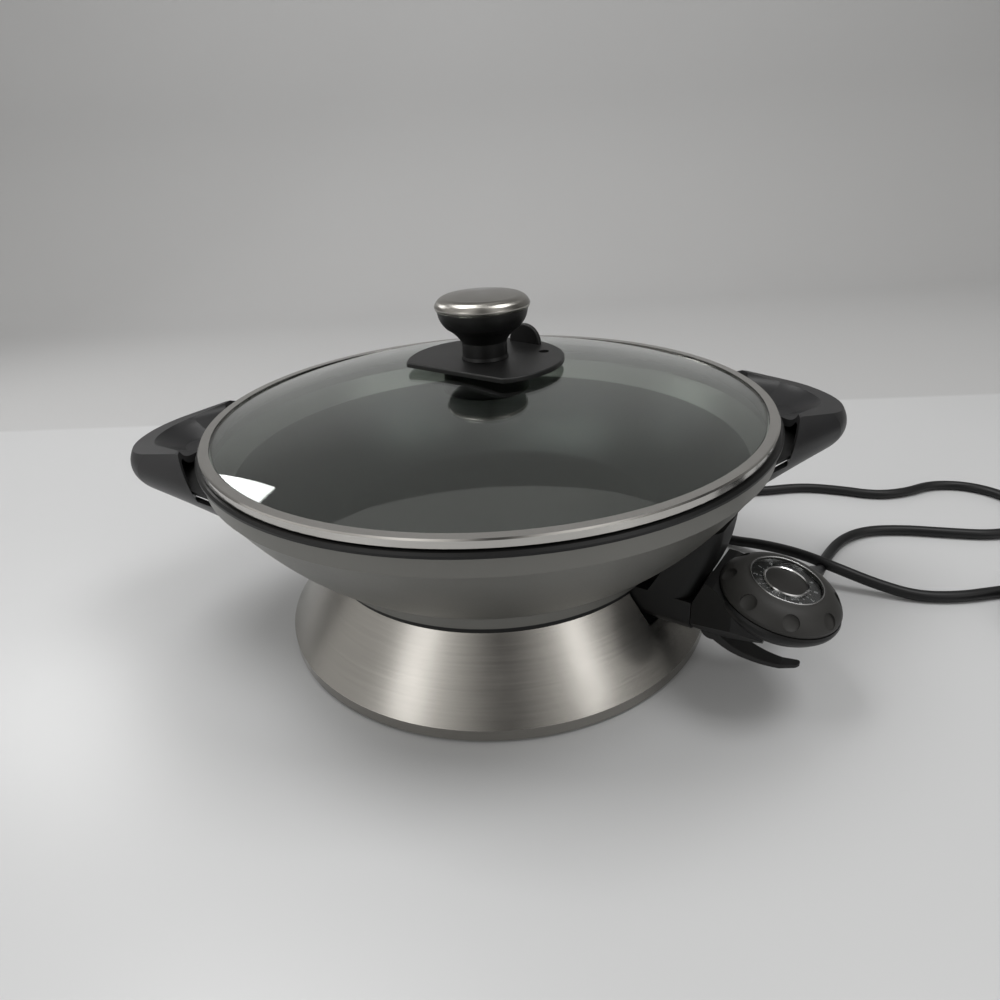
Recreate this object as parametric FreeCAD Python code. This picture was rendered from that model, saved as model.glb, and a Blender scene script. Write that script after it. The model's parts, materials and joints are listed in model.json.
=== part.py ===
import FreeCAD, Part
import math
import os

# Electric wok: a cast bowl on a flared steel base, a domed glass lid with a vent,
# two moulded side handles, and a plug-in heat control on a cord.
# Millimetres. Origin at the centre of the base on the table, +Z up, handles along X.

V = FreeCAD.Vector
UP = V(0, 0, 1)
ORIGIN = V(0, 0, 0)
os.makedirs("parts", exist_ok=True)

# General clearances and walls
MOVE_GAP = 0.3          # between pieces that move past each other
FIT_GAP = 0.1           # between pieces that are fixed together
STEEL_T = 1.2           # base skin
BOWL_WALL = 4.0         # cast bowl wall

# Base
FOOT_H = 3.0
FOOT_R = 9.0
FOOT_COUNT = 4
FOOT_PITCH_R = 134.0
FOOT_STEM_R = 3.0
SKIRT_LIFT = 2.0        # gap under the steel edge
SKIRT_R = 147.5
BAND_TOP = 9.0
SKIRT_TOP_R = 115.0
SKIRT_TOP = 52.2
SKIRT_LIP = 3.0
FRAME_T = 3.0
FRAME_RIM_W = 20.0
RIB_COUNT = 8
RIB_T = 3.0
DECK_W = 17.0
DECK_T = 4.5
COLLAR_H = 4.3          # dark band between the steel and the bowl
COLLAR_OVER = 0.6       # its overhang on the steel's top edge
COLLAR_W = 12.6
LOCATOR_T = 4.0
LOCATOR_COUNT = 3
LOCATOR_SPAN = 34.0     # degrees

# Bowl
BOWL_FOOT_OVER = 3.0    # the bowl's foot, out past the steel's top edge
BOWL_FOOT_H = 7.5
BOWL_FOOT_T = 7.0
WALL_PULL_R = 34.0      # the wall curve's control point, out from the foot
WALL_PULL_Z = 20.1
WALL_TOP_R = 178.5
WALL_TOP = 130.8
RIM_R = 180.0
RIM_TOP = 144.5
LIP_R = 181.8
LIP_H = 3.0
LEDGE_DROP = 2.5
BOWL_FLOOR = 63.5
FLAT_FLOOR_R = 78.0

# Heating element and probe socket, all on one level
PROBE_TURN = 36.0       # degrees from +X towards the front
PROBE_Z = 46.0
ELEMENT_R = 72.0
ELEMENT_TUBE_R = 4.0
ELEMENT_GAP_ANGLE = 40.0
ELEMENT_BEND_R = 12.0
ELEMENT_OUT_R = 103.0
BEAD_W = 16.0
PIN_PITCH = 22.0
PIN_R = 2.5
PIN_END = 138.0
BOSS_IN_R = 58.0
BOSS_OUT_R = 103.0
BOSS_W = 10.5
ROD_R = 3.0
ROD_END_R = 68.0
ROD_BORE_GAP = 0.4

# Probe guard under the bowl
GUARD_W = 40.0
BARREL_IN = 108.0
BARREL_OUT = 151.0
BARREL_BOTTOM = 34.5
BARREL_ROUND = 9.5
GUARD_WALL = 3.5
GUARD_BACK = 4.0
GUARD_TOP = 104.0
GUARD_TOP_R = 163.5
GUARD_LOW_R = 149.5
GUARD_BULGE = 3.0
GUARD_ROUND = 9.0
NOTCH_GAP = 1.8         # base notch around the guard

# Probe
JOINT_GAP = 0.5
NOSE_GAP = 0.6
SLEEVE_T = 1.3
SLEEVE_GAP = 0.25
COLLAR_LEAN = 6.8
COLLAR_TOP = 74.0
NECK_W = 40.0
DIAL_RHO = 194.5
DIAL_Z = 65.0
DIAL_TILT = 13.0
DIAL_R = 33.6
HOUSING_R = 34.8
HOUSING_DEPTH = 18.0
HOUSING_SIDE = 5.0
HOUSING_BEVEL = 9.0
DIAL_H = 12.0
LENS_R = 20.4
DIAL_WALL = 2.6
DIMPLES = 8
DIMPLE_R = 4.6
DIMPLE_DEPTH = 0.7
SCALE_R = 19.2
SCALE_Z = 7.4
SCALE_T = 1.2
LENS_T = 1.6
CAP_R = 11.4
BEZEL_W = 1.4
POST_R = 4.0

# Release lever
LEVER_RHO = 160.5
LEVER_Z = 33.0
LEVER_W = 15.0
LEVER_T = 3.4
LEVER_END = 211.0
LEVER_KNUCKLE_R = 6.5
LEVER_PIN_R = 1.8
LEVER_SLOT_GAP = 0.7
LEVER_DIP = 12.0        # how far the blade hangs below its pin
LEVER_TIP_W = 6.0
TONGUE_W = 6.0
TONGUE_R = 5.0

# Handles
HANDLE_REACH = 53.0     # nose, out past the bowl's rim
HANDLE_SHOULDER_X = 16.0   # shoulder, back from the nose
HANDLE_SHOULDER_Y = 38.0
HANDLE_WAIST_X = 46.0      # waist, back from the nose
HANDLE_WAIST_Y = 60.5
HANDLE_SIDE_X = 155.0
HANDLE_HALF_Y = 84.0
HANDLE_TOP = 146.0
HANDLE_TIP_TOP = 140.0
HANDLE_BOTTOM = 115.0
HANDLE_WIDE_Z = 129.0   # level of its widest outline
HANDLE_LOW_IN = 8.0     # drawn in below
HANDLE_HIGH_IN = 11.5   # drawn in at the crease
REST_EDGE = 1.0         # crease between outer face and thumb rest
REST_DEPTH = 13.0
REST_RUN = 20.0         # the thumb rest's slope, in plan
HANDLE_WALL = 4.5
HANDLE_SKIN = 4.0
HANDLE_RIM_GAP = 5.0
HANDLE_RIM_LEAN = 6.0
BRACKET_T = 2.0
BRACKET_W = 44.0
BRACKET_DROP = 12.0
BRACKET_OUT = 16.0
SCREW_PITCH = 26.0
SCREW_R = 2.4
SCREW_HEAD_R = 4.6
SCREW_HEAD_H = 2.4
SCREW_LEN = 12.0

# Lid
LID_R = 179.0
LID_SHEET = 0.8
LID_LAND = 7.0
GLASS_T = 3.5
GLASS_APEX = 176.5
LID_SKIRT_IN = 7.5
LID_SKIRT_H = 6.0
LID_HOLE_R = 4.5
VENT_HOLE_R = 3.4
VENT_HOLE_PITCH = 38.0
VENT_HOLE_TURN = 38.0
VENT_TRAVEL = 30.0
PLATE_R = 50.0
PLATE_T = 2.9
PLATE_EDGE = 1.1
PLATE_CORNER = 4.0
PLATE_RISE = 0.9
PLATE_CUT = 33.0
PLATE_CUT_TURN = 232.0
TAB_R = 12.5
TAB_T = 3.8
TAB_PITCH = 42.0
TAB_TURN = 49.0
WASHER_R = 12.0
NECK_R = 14.2
NECK_TOP = 191.0
CAP_BOTTOM = 211.0
KNOB_R = 29.5
KNOB_EDGE = 0.9         # the cap's lower edge, in from its widest
KNOB_EDGE_H = 2.6
KNOB_TOP = 220.9
KNOB_CROWN = 1.8        # rise of the flat top
KNOB_SHOULDER = 7.5
RETAINER_R = 27.5
RETAINER_BOTTOM = 158.0
LID_SCREW_R = 2.5

# Cord and plug
CORD_D = 8.0
CORD_REST = CORD_D / 2
COIL_MEAN_D = 84.0
COIL_GAP = 2.2
COIL_LAYER_GAP = 0.8
COIL_IN_TURNS = 1.25
COIL_CLIMB_TURNS = 0.5
COIL_TURNS = 3.0
COIL_CENTRE = (384.0, -88.0)
PLUG_TAIL = 26.0
PLUG_BOOT_R = 6.0
PLUG_BOOT_L = 14.0
PLUG_L = 30.0
PLUG_W = 24.0
PLUG_ROUND = 6.0
BLADE_T = 1.5
BLADE_W = 6.3
BLADE_L = 17.0
BLADE_PITCH = 12.7
BLADE_RISE = 4.0
BLADE_ROOT = 8.0
GROUND_R = 2.4
GROUND_L = 19.5
GROUND_DROP = -7.6
BOOT_R = 7.0
BOOT_TIP_R = 5.4
BOOT_L = 26.0


def save(shape, name):
    """Write one sub-part and say its size."""
    shape.exportStep("parts/%s.step" % name)
    print("%-22s solids %d  volume %.1f  valid %s"
          % (name, len(shape.Solids), shape.Volume, shape.isValid()))


def rz(r, z):
    """A point of a profile in the XZ plane."""
    return V(r, 0, z)


def wire(points):
    """A closed profile; a step that holds two points is an arc through the first."""
    edges = []
    last = points[0]
    for step in points[1:]:
        if isinstance(step, tuple):
            edges.append(Part.Arc(last, step[0], step[1]).toShape())
            last = step[1]
        else:
            edges.append(Part.LineSegment(last, step).toShape())
            last = step
    if last.distanceToPoint(points[0]) > 1e-6:
        edges.append(Part.LineSegment(last, points[0]).toShape())
    return Part.Wire(edges)


def revolve(points):
    """A solid of revolution about Z from a profile in the XZ plane."""
    return Part.Face(wire(points)).revolve(ORIGIN, UP, 360)


def prism(points, depth):
    """A flat outline pushed along a vector."""
    return Part.Face(wire(points)).extrude(depth)


def crown(edge, apex_z):
    """An arc from an edge point up to the axis, level where it meets the axis."""
    rise = apex_z - edge.z
    radius = (edge.x ** 2 + rise ** 2) / (2 * rise)
    half = edge.x / 2
    return (rz(half, apex_z - radius + math.sqrt(radius ** 2 - half ** 2)), rz(0, apex_z))


def ring(inner, outer, z0, height):
    body = Part.makeCylinder(outer, height, V(0, 0, z0))
    return body.cut(Part.makeCylinder(inner, height, V(0, 0, z0)))


def block(x0, x1, y0, y1, z0, z1):
    return Part.makeBox(x1 - x0, y1 - y0, z1 - z0, V(x0, y0, z0))


def turned(shape, angle):
    """A copy turned about the wok's axis."""
    copy = shape.copy()
    copy.rotate(ORIGIN, UP, angle)
    return copy


def to_probe(shape):
    """Turn a piece modelled along +X to the probe's direction."""
    return turned(shape, -PROBE_TURN)


def polar(radius, angle, z=0.0):
    a = math.radians(angle)
    return V(radius * math.cos(a), radius * math.sin(a), z)


def bezier_edge(*poles):
    curve = Part.BezierCurve()
    curve.setPoles(list(poles))
    return curve.toShape()


def rounded_block(x0, x1, half, z0, z1, radius):
    """A block along X whose four long edges are round."""
    body = block(x0, x1, -half, half, z0, z1)
    long_edges = [e for e in body.Edges if abs(abs(e.tangentAt(e.FirstParameter).x) - 1) < 1e-6]
    return body.makeFillet(radius, long_edges)


# Sizes that follow from the sizes above
BOWL_FOOT_R = SKIRT_TOP_R + BOWL_FOOT_OVER
HANDLE_NOSE_X = RIM_R + HANDLE_REACH
LID_SKIRT_R = LID_R - LID_SKIRT_IN
KNOB_EDGE_R = KNOB_R - KNOB_EDGE
KNOB_WIDE_Z = CAP_BOTTOM + KNOB_EDGE_H
COLLAR_TOP_Z = SKIRT_TOP + COLLAR_H
BOWL_BOTTOM = COLLAR_TOP_Z + MOVE_GAP
FOOT_TOP = BOWL_BOTTOM + BOWL_FOOT_H
FLOOR_UNDER = BOWL_FLOOR - BOWL_WALL
DECK_TOP = SKIRT_TOP - STEEL_T
COLLAR_R = SKIRT_TOP_R + COLLAR_OVER
COLLAR_IN_R = COLLAR_R - COLLAR_W
DECK_IN_R = SKIRT_TOP_R - SKIRT_LIP - STEEL_T - DECK_W
CONE_RUN = SKIRT_R - SKIRT_TOP_R
CONE_RISE = SKIRT_TOP - BAND_TOP
CONE_T = STEEL_T * math.hypot(CONE_RUN, CONE_RISE) / CONE_RISE
LID_BOTTOM = RIM_TOP + MOVE_GAP
GLASS_LOW = LID_BOTTOM + LID_SHEET + FIT_GAP
GLASS_LAND = GLASS_LOW + GLASS_T
GLASS_EDGE_R = LID_R - LID_SHEET - FIT_GAP
DOME_R_IN = LID_R - LID_LAND
DOME_SAG = GLASS_APEX - GLASS_LAND
DOME_RADIUS = (DOME_R_IN ** 2 + DOME_SAG ** 2) / (2 * DOME_SAG)
DOME_CENTRE = GLASS_APEX - DOME_RADIUS
PLATE_BOTTOM = GLASS_APEX + PLATE_RISE
PLATE_TOP = PLATE_BOTTOM + PLATE_T


def cone_r(z, inset=0.0):
    """Radius of the base cone's outside at a height."""
    return SKIRT_TOP_R + (SKIRT_TOP - z) * CONE_RUN / CONE_RISE - inset


def dome_z(r, inset=0.0):
    """Height of the glass dome at a radius; the inset goes down into the glass."""
    return DOME_CENTRE + math.sqrt((DOME_RADIUS - inset) ** 2 - r ** 2)


def notch(bottom):
    """The way through the base for the probe's guard."""
    half = GUARD_W / 2 + NOTCH_GAP
    return to_probe(block(DECK_IN_R - NOTCH_GAP, SKIRT_R, -half, half, bottom, FOOT_TOP))


# Base
def base_skirt():
    outer = [rz(SKIRT_R, SKIRT_LIFT), rz(SKIRT_R, BAND_TOP), rz(SKIRT_TOP_R, SKIRT_TOP)]
    lip = [rz(SKIRT_TOP_R - SKIRT_LIP, SKIRT_TOP), rz(SKIRT_TOP_R - SKIRT_LIP, DECK_TOP)]
    inner = [rz(cone_r(DECK_TOP, CONE_T), DECK_TOP), rz(SKIRT_R - STEEL_T, BAND_TOP - STEEL_T / 2),
             rz(SKIRT_R - STEEL_T, SKIRT_LIFT + STEEL_T), rz(SKIRT_R - SKIRT_LIP, SKIRT_LIFT + STEEL_T),
             rz(SKIRT_R - SKIRT_LIP, SKIRT_LIFT)]
    return revolve(outer + lip + inner).cut(notch(BARREL_BOTTOM - NOTCH_GAP))


def base_frame():
    rim_out = SKIRT_R - STEEL_T - FIT_GAP
    rim_z = SKIRT_LIFT + STEEL_T
    rim = ring(rim_out - FRAME_RIM_W, rim_out, rim_z, FRAME_T)
    deck_out = cone_r(DECK_TOP, CONE_T + FIT_GAP)
    deck = ring(DECK_IN_R, deck_out, DECK_TOP - DECK_T, DECK_T)
    body = rim.fuse(deck)
    low = rim_z + FRAME_T
    outline = [rz(rim_out - FRAME_RIM_W + 2, low - 1), rz(rim_out - 4, low - 1),
               rz(cone_r(BAND_TOP, CONE_T + 1.5), BAND_TOP),
               rz(cone_r(DECK_TOP - 1, CONE_T + 1.5), DECK_TOP - 1), rz(DECK_IN_R + 3, DECK_TOP - 1)]
    rib = prism(outline, V(0, RIB_T, 0))
    rib.translate(V(0, -RIB_T / 2, 0))
    step = 360.0 / RIB_COUNT
    first = -PROBE_TURN + step / 2
    body = body.multiFuse([turned(rib, first + i * step) for i in range(RIB_COUNT)])
    foot_holes = [Part.makeCylinder(FOOT_STEM_R + FIT_GAP, FRAME_T, polar(FOOT_PITCH_R, a, rim_z))
                  for a in foot_angles()]
    return body.cut(Part.makeCompound(foot_holes)).cut(notch(BARREL_BOTTOM - NOTCH_GAP)).removeSplitter()


def foot_angles():
    return [45.0 + i * 360.0 / FOOT_COUNT for i in range(FOOT_COUNT)]


def foot(angle):
    seat = SKIRT_LIFT + STEEL_T
    place = polar(FOOT_PITCH_R, angle)
    pad = Part.makeCone(FOOT_R - 1, FOOT_R, seat, place)
    stem = Part.makeCylinder(FOOT_STEM_R, seat + FRAME_T, place)
    return pad.fuse(stem)


def base_collar():
    """The dark ring that clamps the steel's top edge and carries the bowl's foot."""
    neck_r = SKIRT_TOP_R - SKIRT_LIP - FIT_GAP
    profile = [rz(COLLAR_IN_R, DECK_TOP), rz(neck_r, DECK_TOP), rz(neck_r, SKIRT_TOP),
               rz(COLLAR_R, SKIRT_TOP), rz(COLLAR_R, COLLAR_TOP_Z), rz(COLLAR_IN_R, COLLAR_TOP_Z)]
    body = revolve(profile)
    out_r = BOWL_FOOT_R - BOWL_FOOT_T - MOVE_GAP
    wedge = ring(out_r - LOCATOR_T, out_r, COLLAR_TOP_Z - 1, FLOOR_UNDER - MOVE_GAP - COLLAR_TOP_Z + 1)
    for i in range(LOCATOR_COUNT):
        start = 180.0 - PROBE_TURN - LOCATOR_SPAN / 2 + i * 360.0 / LOCATOR_COUNT
        sector = prism([ORIGIN, polar(SKIRT_R, start), (polar(SKIRT_R, start + LOCATOR_SPAN / 2),
                        polar(SKIRT_R, start + LOCATOR_SPAN))], V(0, 0, FOOT_TOP))
        body = body.fuse(wedge.common(sector))
    return body.cut(notch(BARREL_BOTTOM)).removeSplitter()


# Bowl
def offset_control(p0, p1, p2, gap):
    """The control points of a curve moved up and inwards by a gap."""
    def normal(a, b):
        length = math.hypot(b[0] - a[0], b[1] - a[1])
        return (-(b[1] - a[1]) / length, (b[0] - a[0]) / length)
    n0 = normal(p0, p1)
    n1 = normal(p1, p2)
    q0 = (p0[0] + n0[0] * gap, p0[1] + n0[1] * gap)
    q2 = (p2[0] + n1[0] * gap, p2[1] + n1[1] * gap)
    share = gap / (1 + n0[0] * n1[0] + n0[1] * n1[1])
    q1 = (p1[0] + (n0[0] + n1[0]) * share, p1[1] + (n0[1] + n1[1]) * share)
    return q0, q1, q2


WALL_CURVE = ((BOWL_FOOT_R, FOOT_TOP), (BOWL_FOOT_R + WALL_PULL_R, FOOT_TOP + WALL_PULL_Z),
              (WALL_TOP_R, WALL_TOP))


def bowl_outside(gap, top=None):
    """The bowl's outer form as a solid, grown by a gap, for fitting pieces to its wall."""
    p0, p1, p2 = offset_control(*WALL_CURVE, -gap)
    top = HANDLE_TOP + 10 if top is None else top
    upper = RIM_R + gap
    edges = [Part.LineSegment(rz(0, BOWL_BOTTOM), rz(BOWL_FOOT_R + gap, BOWL_BOTTOM)).toShape(),
             Part.LineSegment(rz(BOWL_FOOT_R + gap, BOWL_BOTTOM), rz(*p0)).toShape(),
             bezier_edge(rz(*p0), rz(*p1), rz(*p2)),
             Part.LineSegment(rz(*p2), rz(upper, WALL_TOP)).toShape(),
             Part.LineSegment(rz(upper, WALL_TOP), rz(upper, top)).toShape(),
             Part.LineSegment(rz(upper, top), rz(0, top)).toShape(),
             Part.LineSegment(rz(0, top), rz(0, BOWL_BOTTOM)).toShape()]
    return Part.Face(Part.Wire(edges)).revolve(ORIGIN, UP, 360)


def wok_bowl():
    q0, q1, q2 = offset_control(*WALL_CURVE, BOWL_WALL)
    slope = WALL_PULL_Z / WALL_PULL_R
    floor_turn = (q0[0] - (q0[1] - BOWL_FLOOR) / slope, BOWL_FLOOR)
    band_in = RIM_R - BOWL_WALL - 1.0
    lip_z = RIM_TOP - LIP_H
    foot_in = BOWL_FOOT_R - BOWL_FOOT_T
    edges = [Part.LineSegment(rz(0, FLOOR_UNDER), rz(foot_in, FLOOR_UNDER)).toShape(),
             Part.LineSegment(rz(foot_in, FLOOR_UNDER), rz(foot_in, BOWL_BOTTOM)).toShape(),
             Part.LineSegment(rz(foot_in, BOWL_BOTTOM), rz(BOWL_FOOT_R, BOWL_BOTTOM)).toShape(),
             Part.LineSegment(rz(BOWL_FOOT_R, BOWL_BOTTOM), rz(*WALL_CURVE[0])).toShape(),
             bezier_edge(*[rz(*p) for p in WALL_CURVE])]
    last = rz(*WALL_CURVE[2])
    rim = [rz(RIM_R - 0.7, WALL_TOP), rz(RIM_R, lip_z), rz(LIP_R, lip_z + 0.4),
           rz(LIP_R, RIM_TOP - 1.2), rz(LIP_R - 1.2, RIM_TOP), rz(band_in + 0.8, RIM_TOP),
           rz(band_in, RIM_TOP - 0.8), rz(band_in - 0.8, WALL_TOP), rz(q2[0], WALL_TOP - LEDGE_DROP)]
    for point in rim:
        edges.append(Part.LineSegment(last, point).toShape())
        last = point
    edges.append(Part.LineSegment(last, rz(*q2)).toShape())
    edges.append(bezier_edge(rz(*q2), rz(*q1), rz(*q0)))
    edges.append(bezier_edge(rz(*q0), rz(*floor_turn), rz(FLAT_FLOOR_R, BOWL_FLOOR)))
    edges.append(Part.LineSegment(rz(FLAT_FLOOR_R, BOWL_FLOOR), rz(0, BOWL_FLOOR)).toShape())
    edges.append(Part.LineSegment(rz(0, BOWL_FLOOR), rz(0, FLOOR_UNDER)).toShape())
    body = Part.Face(Part.Wire(edges)).revolve(ORIGIN, UP, 360)
    bead = ring(ELEMENT_R - BEAD_W / 2, ELEMENT_R + BEAD_W / 2, PROBE_Z, FLOOR_UNDER - PROBE_Z + 1)
    gap_half = ELEMENT_GAP_ANGLE / 2 + 4
    mouth = prism([ORIGIN, polar(BOWL_FOOT_R, -gap_half), polar(BOWL_FOOT_R, gap_half)], V(0, 0, FLOOR_UNDER))
    bead = bead.cut(to_probe(mouth))
    boss = to_probe(block(BOSS_IN_R, BOSS_OUT_R, -BOSS_W / 2, BOSS_W / 2,
                          PROBE_Z - BOSS_W / 2, FLOOR_UNDER + 1))
    bore = to_probe(Part.makeCylinder(ROD_R + ROD_BORE_GAP, BOSS_OUT_R, V(ROD_END_R - 4, 0, PROBE_Z),
                                      V(1, 0, 0)))
    groove = Part.makeTorus(ELEMENT_R, ELEMENT_TUBE_R + FIT_GAP, V(0, 0, PROBE_Z))
    return body.fuse(bead.cut(groove)).fuse(boss).cut(bore).removeSplitter()


def heating_element():
    """A horseshoe of tube whose ends bend out to the socket."""
    bend = ELEMENT_BEND_R
    lead_y = PIN_PITCH / 2
    z = PROBE_Z
    # The bend is tangent to the horseshoe outside and to the straight lead.
    centre_y = lead_y + bend
    centre_x = math.sqrt((ELEMENT_R + bend) ** 2 - centre_y ** 2)
    share = ELEMENT_R / (ELEMENT_R + bend)
    touch = V(centre_x * share, centre_y * share, z)
    start = V(centre_x, lead_y, z)
    mid_angle = (math.atan2(touch.y - centre_y, touch.x - centre_x) % (2 * math.pi) + 1.5 * math.pi) / 2
    middle = V(centre_x + bend * math.cos(mid_angle), centre_y + bend * math.sin(mid_angle), z)
    far = V(-ELEMENT_R, 0, z)
    out = V(ELEMENT_OUT_R, lead_y, z)
    edges = [Part.LineSegment(out, start).toShape(), Part.Arc(start, middle, touch).toShape(),
             Part.Arc(touch, far, mirrored(touch)).toShape(),
             Part.Arc(mirrored(touch), mirrored(middle), mirrored(start)).toShape(),
             Part.LineSegment(mirrored(start), mirrored(out)).toShape()]
    path = Part.Wire(edges)
    section = Part.Wire([Part.Circle(out, V(1, 0, 0), ELEMENT_TUBE_R).toShape()])
    return to_probe(path.makePipeShell([section], True, False))


def mirrored(p):
    return V(p.x, -p.y, p.z)


def terminal_pin(side):
    base = V(ELEMENT_OUT_R, side * PIN_PITCH / 2, PROBE_Z)
    shaft = Part.makeCylinder(PIN_R, PIN_END - ELEMENT_OUT_R - PIN_R, base, V(1, 0, 0))
    tip = Part.makeCone(PIN_R, PIN_R / 2, PIN_R, V(PIN_END - PIN_R, base.y, base.z), V(1, 0, 0))
    return to_probe(shaft.fuse(tip).removeSplitter())


# Probe guard, fixed under the bowl's foot
GUARD_HALF = GUARD_W / 2


def probe_guard():
    top = BOWL_BOTTOM
    bulge = V((GUARD_LOW_R + GUARD_TOP_R) / 2 + GUARD_BULGE, 0, (top + GUARD_TOP) / 2)
    side = [rz(BOWL_FOOT_R + 6, top), rz(GUARD_LOW_R, top), (bulge, rz(GUARD_TOP_R, GUARD_TOP)),
            rz(WALL_TOP_R - 30, GUARD_TOP)]
    fin = prism(side, V(0, GUARD_W, 0))
    fin.translate(V(0, -GUARD_HALF, 0))
    outer_edges = [e for e in fin.Edges if e.Curve.TypeId == "Part::GeomCircle"]
    fin = fin.makeFillet(GUARD_ROUND, outer_edges)
    inside = block(BOWL_FOOT_R, GUARD_TOP_R, -GUARD_HALF + GUARD_WALL, GUARD_HALF - GUARD_WALL,
                   top - 1, GUARD_TOP)
    slope = rz(GUARD_TOP_R - GUARD_WALL - GUARD_LOW_R, GUARD_TOP - top)
    keep = [rz(0, top + GUARD_WALL), rz(GUARD_LOW_R - GUARD_ROUND, top + GUARD_WALL),
            rz(GUARD_LOW_R - GUARD_ROUND, top + GUARD_WALL) + slope, rz(0, GUARD_TOP + GUARD_WALL)]
    hollow = prism(keep, V(0, GUARD_W, 0))
    hollow.translate(V(0, -GUARD_HALF, 0))
    fin = fin.cut(inside.common(hollow))
    barrel = rounded_block(BARREL_IN, BARREL_OUT, GUARD_HALF, BARREL_BOTTOM, top + BARREL_ROUND, BARREL_ROUND)
    barrel = barrel.common(block(0, SKIRT_R * 2, -GUARD_W, GUARD_W, 0, top))
    cavity = rounded_block(BARREL_IN + GUARD_BACK, BARREL_OUT + 1, GUARD_HALF - GUARD_WALL,
                           BARREL_BOTTOM + GUARD_WALL, 2 * PROBE_Z - BARREL_BOTTOM - GUARD_WALL,
                           BARREL_ROUND - GUARD_WALL)
    body = barrel.fuse(fin).cut(cavity)
    for y in (-PIN_PITCH / 2, 0, PIN_PITCH / 2):
        hole_r = ROD_R + ROD_BORE_GAP if y == 0 else PIN_R + FIT_GAP
        body = body.cut(Part.makeCylinder(hole_r, BARREL_OUT, V(0, y, PROBE_Z), V(1, 0, 0))
                        .common(block(0, BARREL_IN + GUARD_BACK + 1, -GUARD_W, GUARD_W, 0, 2 * PROBE_Z)))
    body = to_probe(body).cut(bowl_outside(FIT_GAP))
    return body.removeSplitter()


# Handles
def handle_outline(inset, z):
    """Plan of one handle at a level, drawn in all round by an inset, as a closed wire."""
    half = HANDLE_HALF_Y - inset
    nose = HANDLE_NOSE_X - inset
    shoulder = V(nose - HANDLE_SHOULDER_X, HANDLE_SHOULDER_Y - inset * 0.8, z)
    waist = V(HANDLE_NOSE_X - HANDLE_WAIST_X - inset * 0.7, HANDLE_WAIST_Y - inset * 0.8, z)
    root = V(HANDLE_SIDE_X, half, z)
    inner = V(HANDLE_SIDE_X - 20, half, z)
    points = [mirrored(root), (mirrored(waist), mirrored(shoulder)), (V(nose, 0, z), shoulder),
              (waist, root), inner, mirrored(inner)]
    return wire(points)


def handle_form(inset):
    """The handle's outer form: widest at mid height, drawn in below and at the crease."""
    levels = ((HANDLE_BOTTOM, HANDLE_LOW_IN), (HANDLE_WIDE_Z, 0.0), (HANDLE_TOP + 2, HANDLE_HIGH_IN))
    return Part.makeLoft([handle_outline(inset + drawn, z) for z, drawn in levels], True, False)


def thumb_rest(drop):
    """The hollow that the thumb rests in: steep at the crease, flat near the bowl."""
    edge = HANDLE_HIGH_IN + REST_EDGE
    steps = ((1.5, 0.0), (0.72, 0.1), (0.36, 0.42), (0.0, 1.0))
    floor = HANDLE_TOP - REST_DEPTH - drop
    wires = [handle_outline(edge + run * REST_RUN, floor + rise * REST_DEPTH) for rise, run in steps]
    return Part.makeLoft(list(reversed(wires)), True, False)


def handle():
    body = handle_form(0)
    far = HANDLE_NOSE_X + HANDLE_WALL
    flat = HANDLE_NOSE_X - HANDLE_WAIST_X
    high = HANDLE_TOP * 2
    slope = (HANDLE_TOP - HANDLE_TIP_TOP) / (HANDLE_NOSE_X - HANDLE_HIGH_IN - flat)
    roof = prism([rz(0, HANDLE_TOP), rz(flat, HANDLE_TOP), rz(far, HANDLE_TOP - (far - flat) * slope),
                  rz(far, high), rz(0, high)], V(0, 4 * HANDLE_HALF_Y, 0))
    roof.translate(V(0, -2 * HANDLE_HALF_Y, 0))
    body = body.cut(roof).cut(thumb_rest(0))
    under = handle_form(HANDLE_WALL)
    mouth = Part.Face(handle_outline(HANDLE_LOW_IN + HANDLE_WALL, HANDLE_BOTTOM - 1)).extrude(V(0, 0, 2))
    body = body.cut(under.fuse(mouth).cut(thumb_rest(HANDLE_SKIN)).cut(roof_skin(roof)))
    clear_r = RIM_R + HANDLE_RIM_GAP
    clear = revolve([rz(0, HANDLE_WIDE_Z - 4), rz(clear_r, HANDLE_WIDE_Z - 4),
                     rz(clear_r + HANDLE_RIM_LEAN, HANDLE_TOP), rz(clear_r + HANDLE_RIM_LEAN, high), rz(0, high)])
    body = body.cut(clear)
    for y in screw_rows():
        post = Part.makeCylinder(SCREW_HEAD_R, HANDLE_TOP - bracket_level() - BRACKET_T,
                                 V(screw_x(), y, bracket_level() + BRACKET_T))
        body = body.fuse(post.cut(thumb_rest(HANDLE_SKIN / 2)))
    for y in screw_rows():
        body = body.cut(Part.makeCylinder(SCREW_R + FIT_GAP, SCREW_LEN + FIT_GAP,
                                          V(screw_x(), y, bracket_level())))
    body = body.cut(bowl_outside(FIT_GAP))
    return largest(body.removeSplitter())


def roof_skin(roof):
    """What the hollow below leaves under the handle's sloping top."""
    skin = roof.copy()
    skin.translate(V(0, 0, -HANDLE_SKIN))
    return skin


def largest(shape):
    solids = sorted(shape.Solids, key=lambda s: s.Volume)
    return solids[-1]


def bracket_level():
    return HANDLE_BOTTOM - 0.5


def screw_x():
    return 190.0


def screw_rows():
    return (-SCREW_PITCH / 2, SCREW_PITCH / 2)


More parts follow.
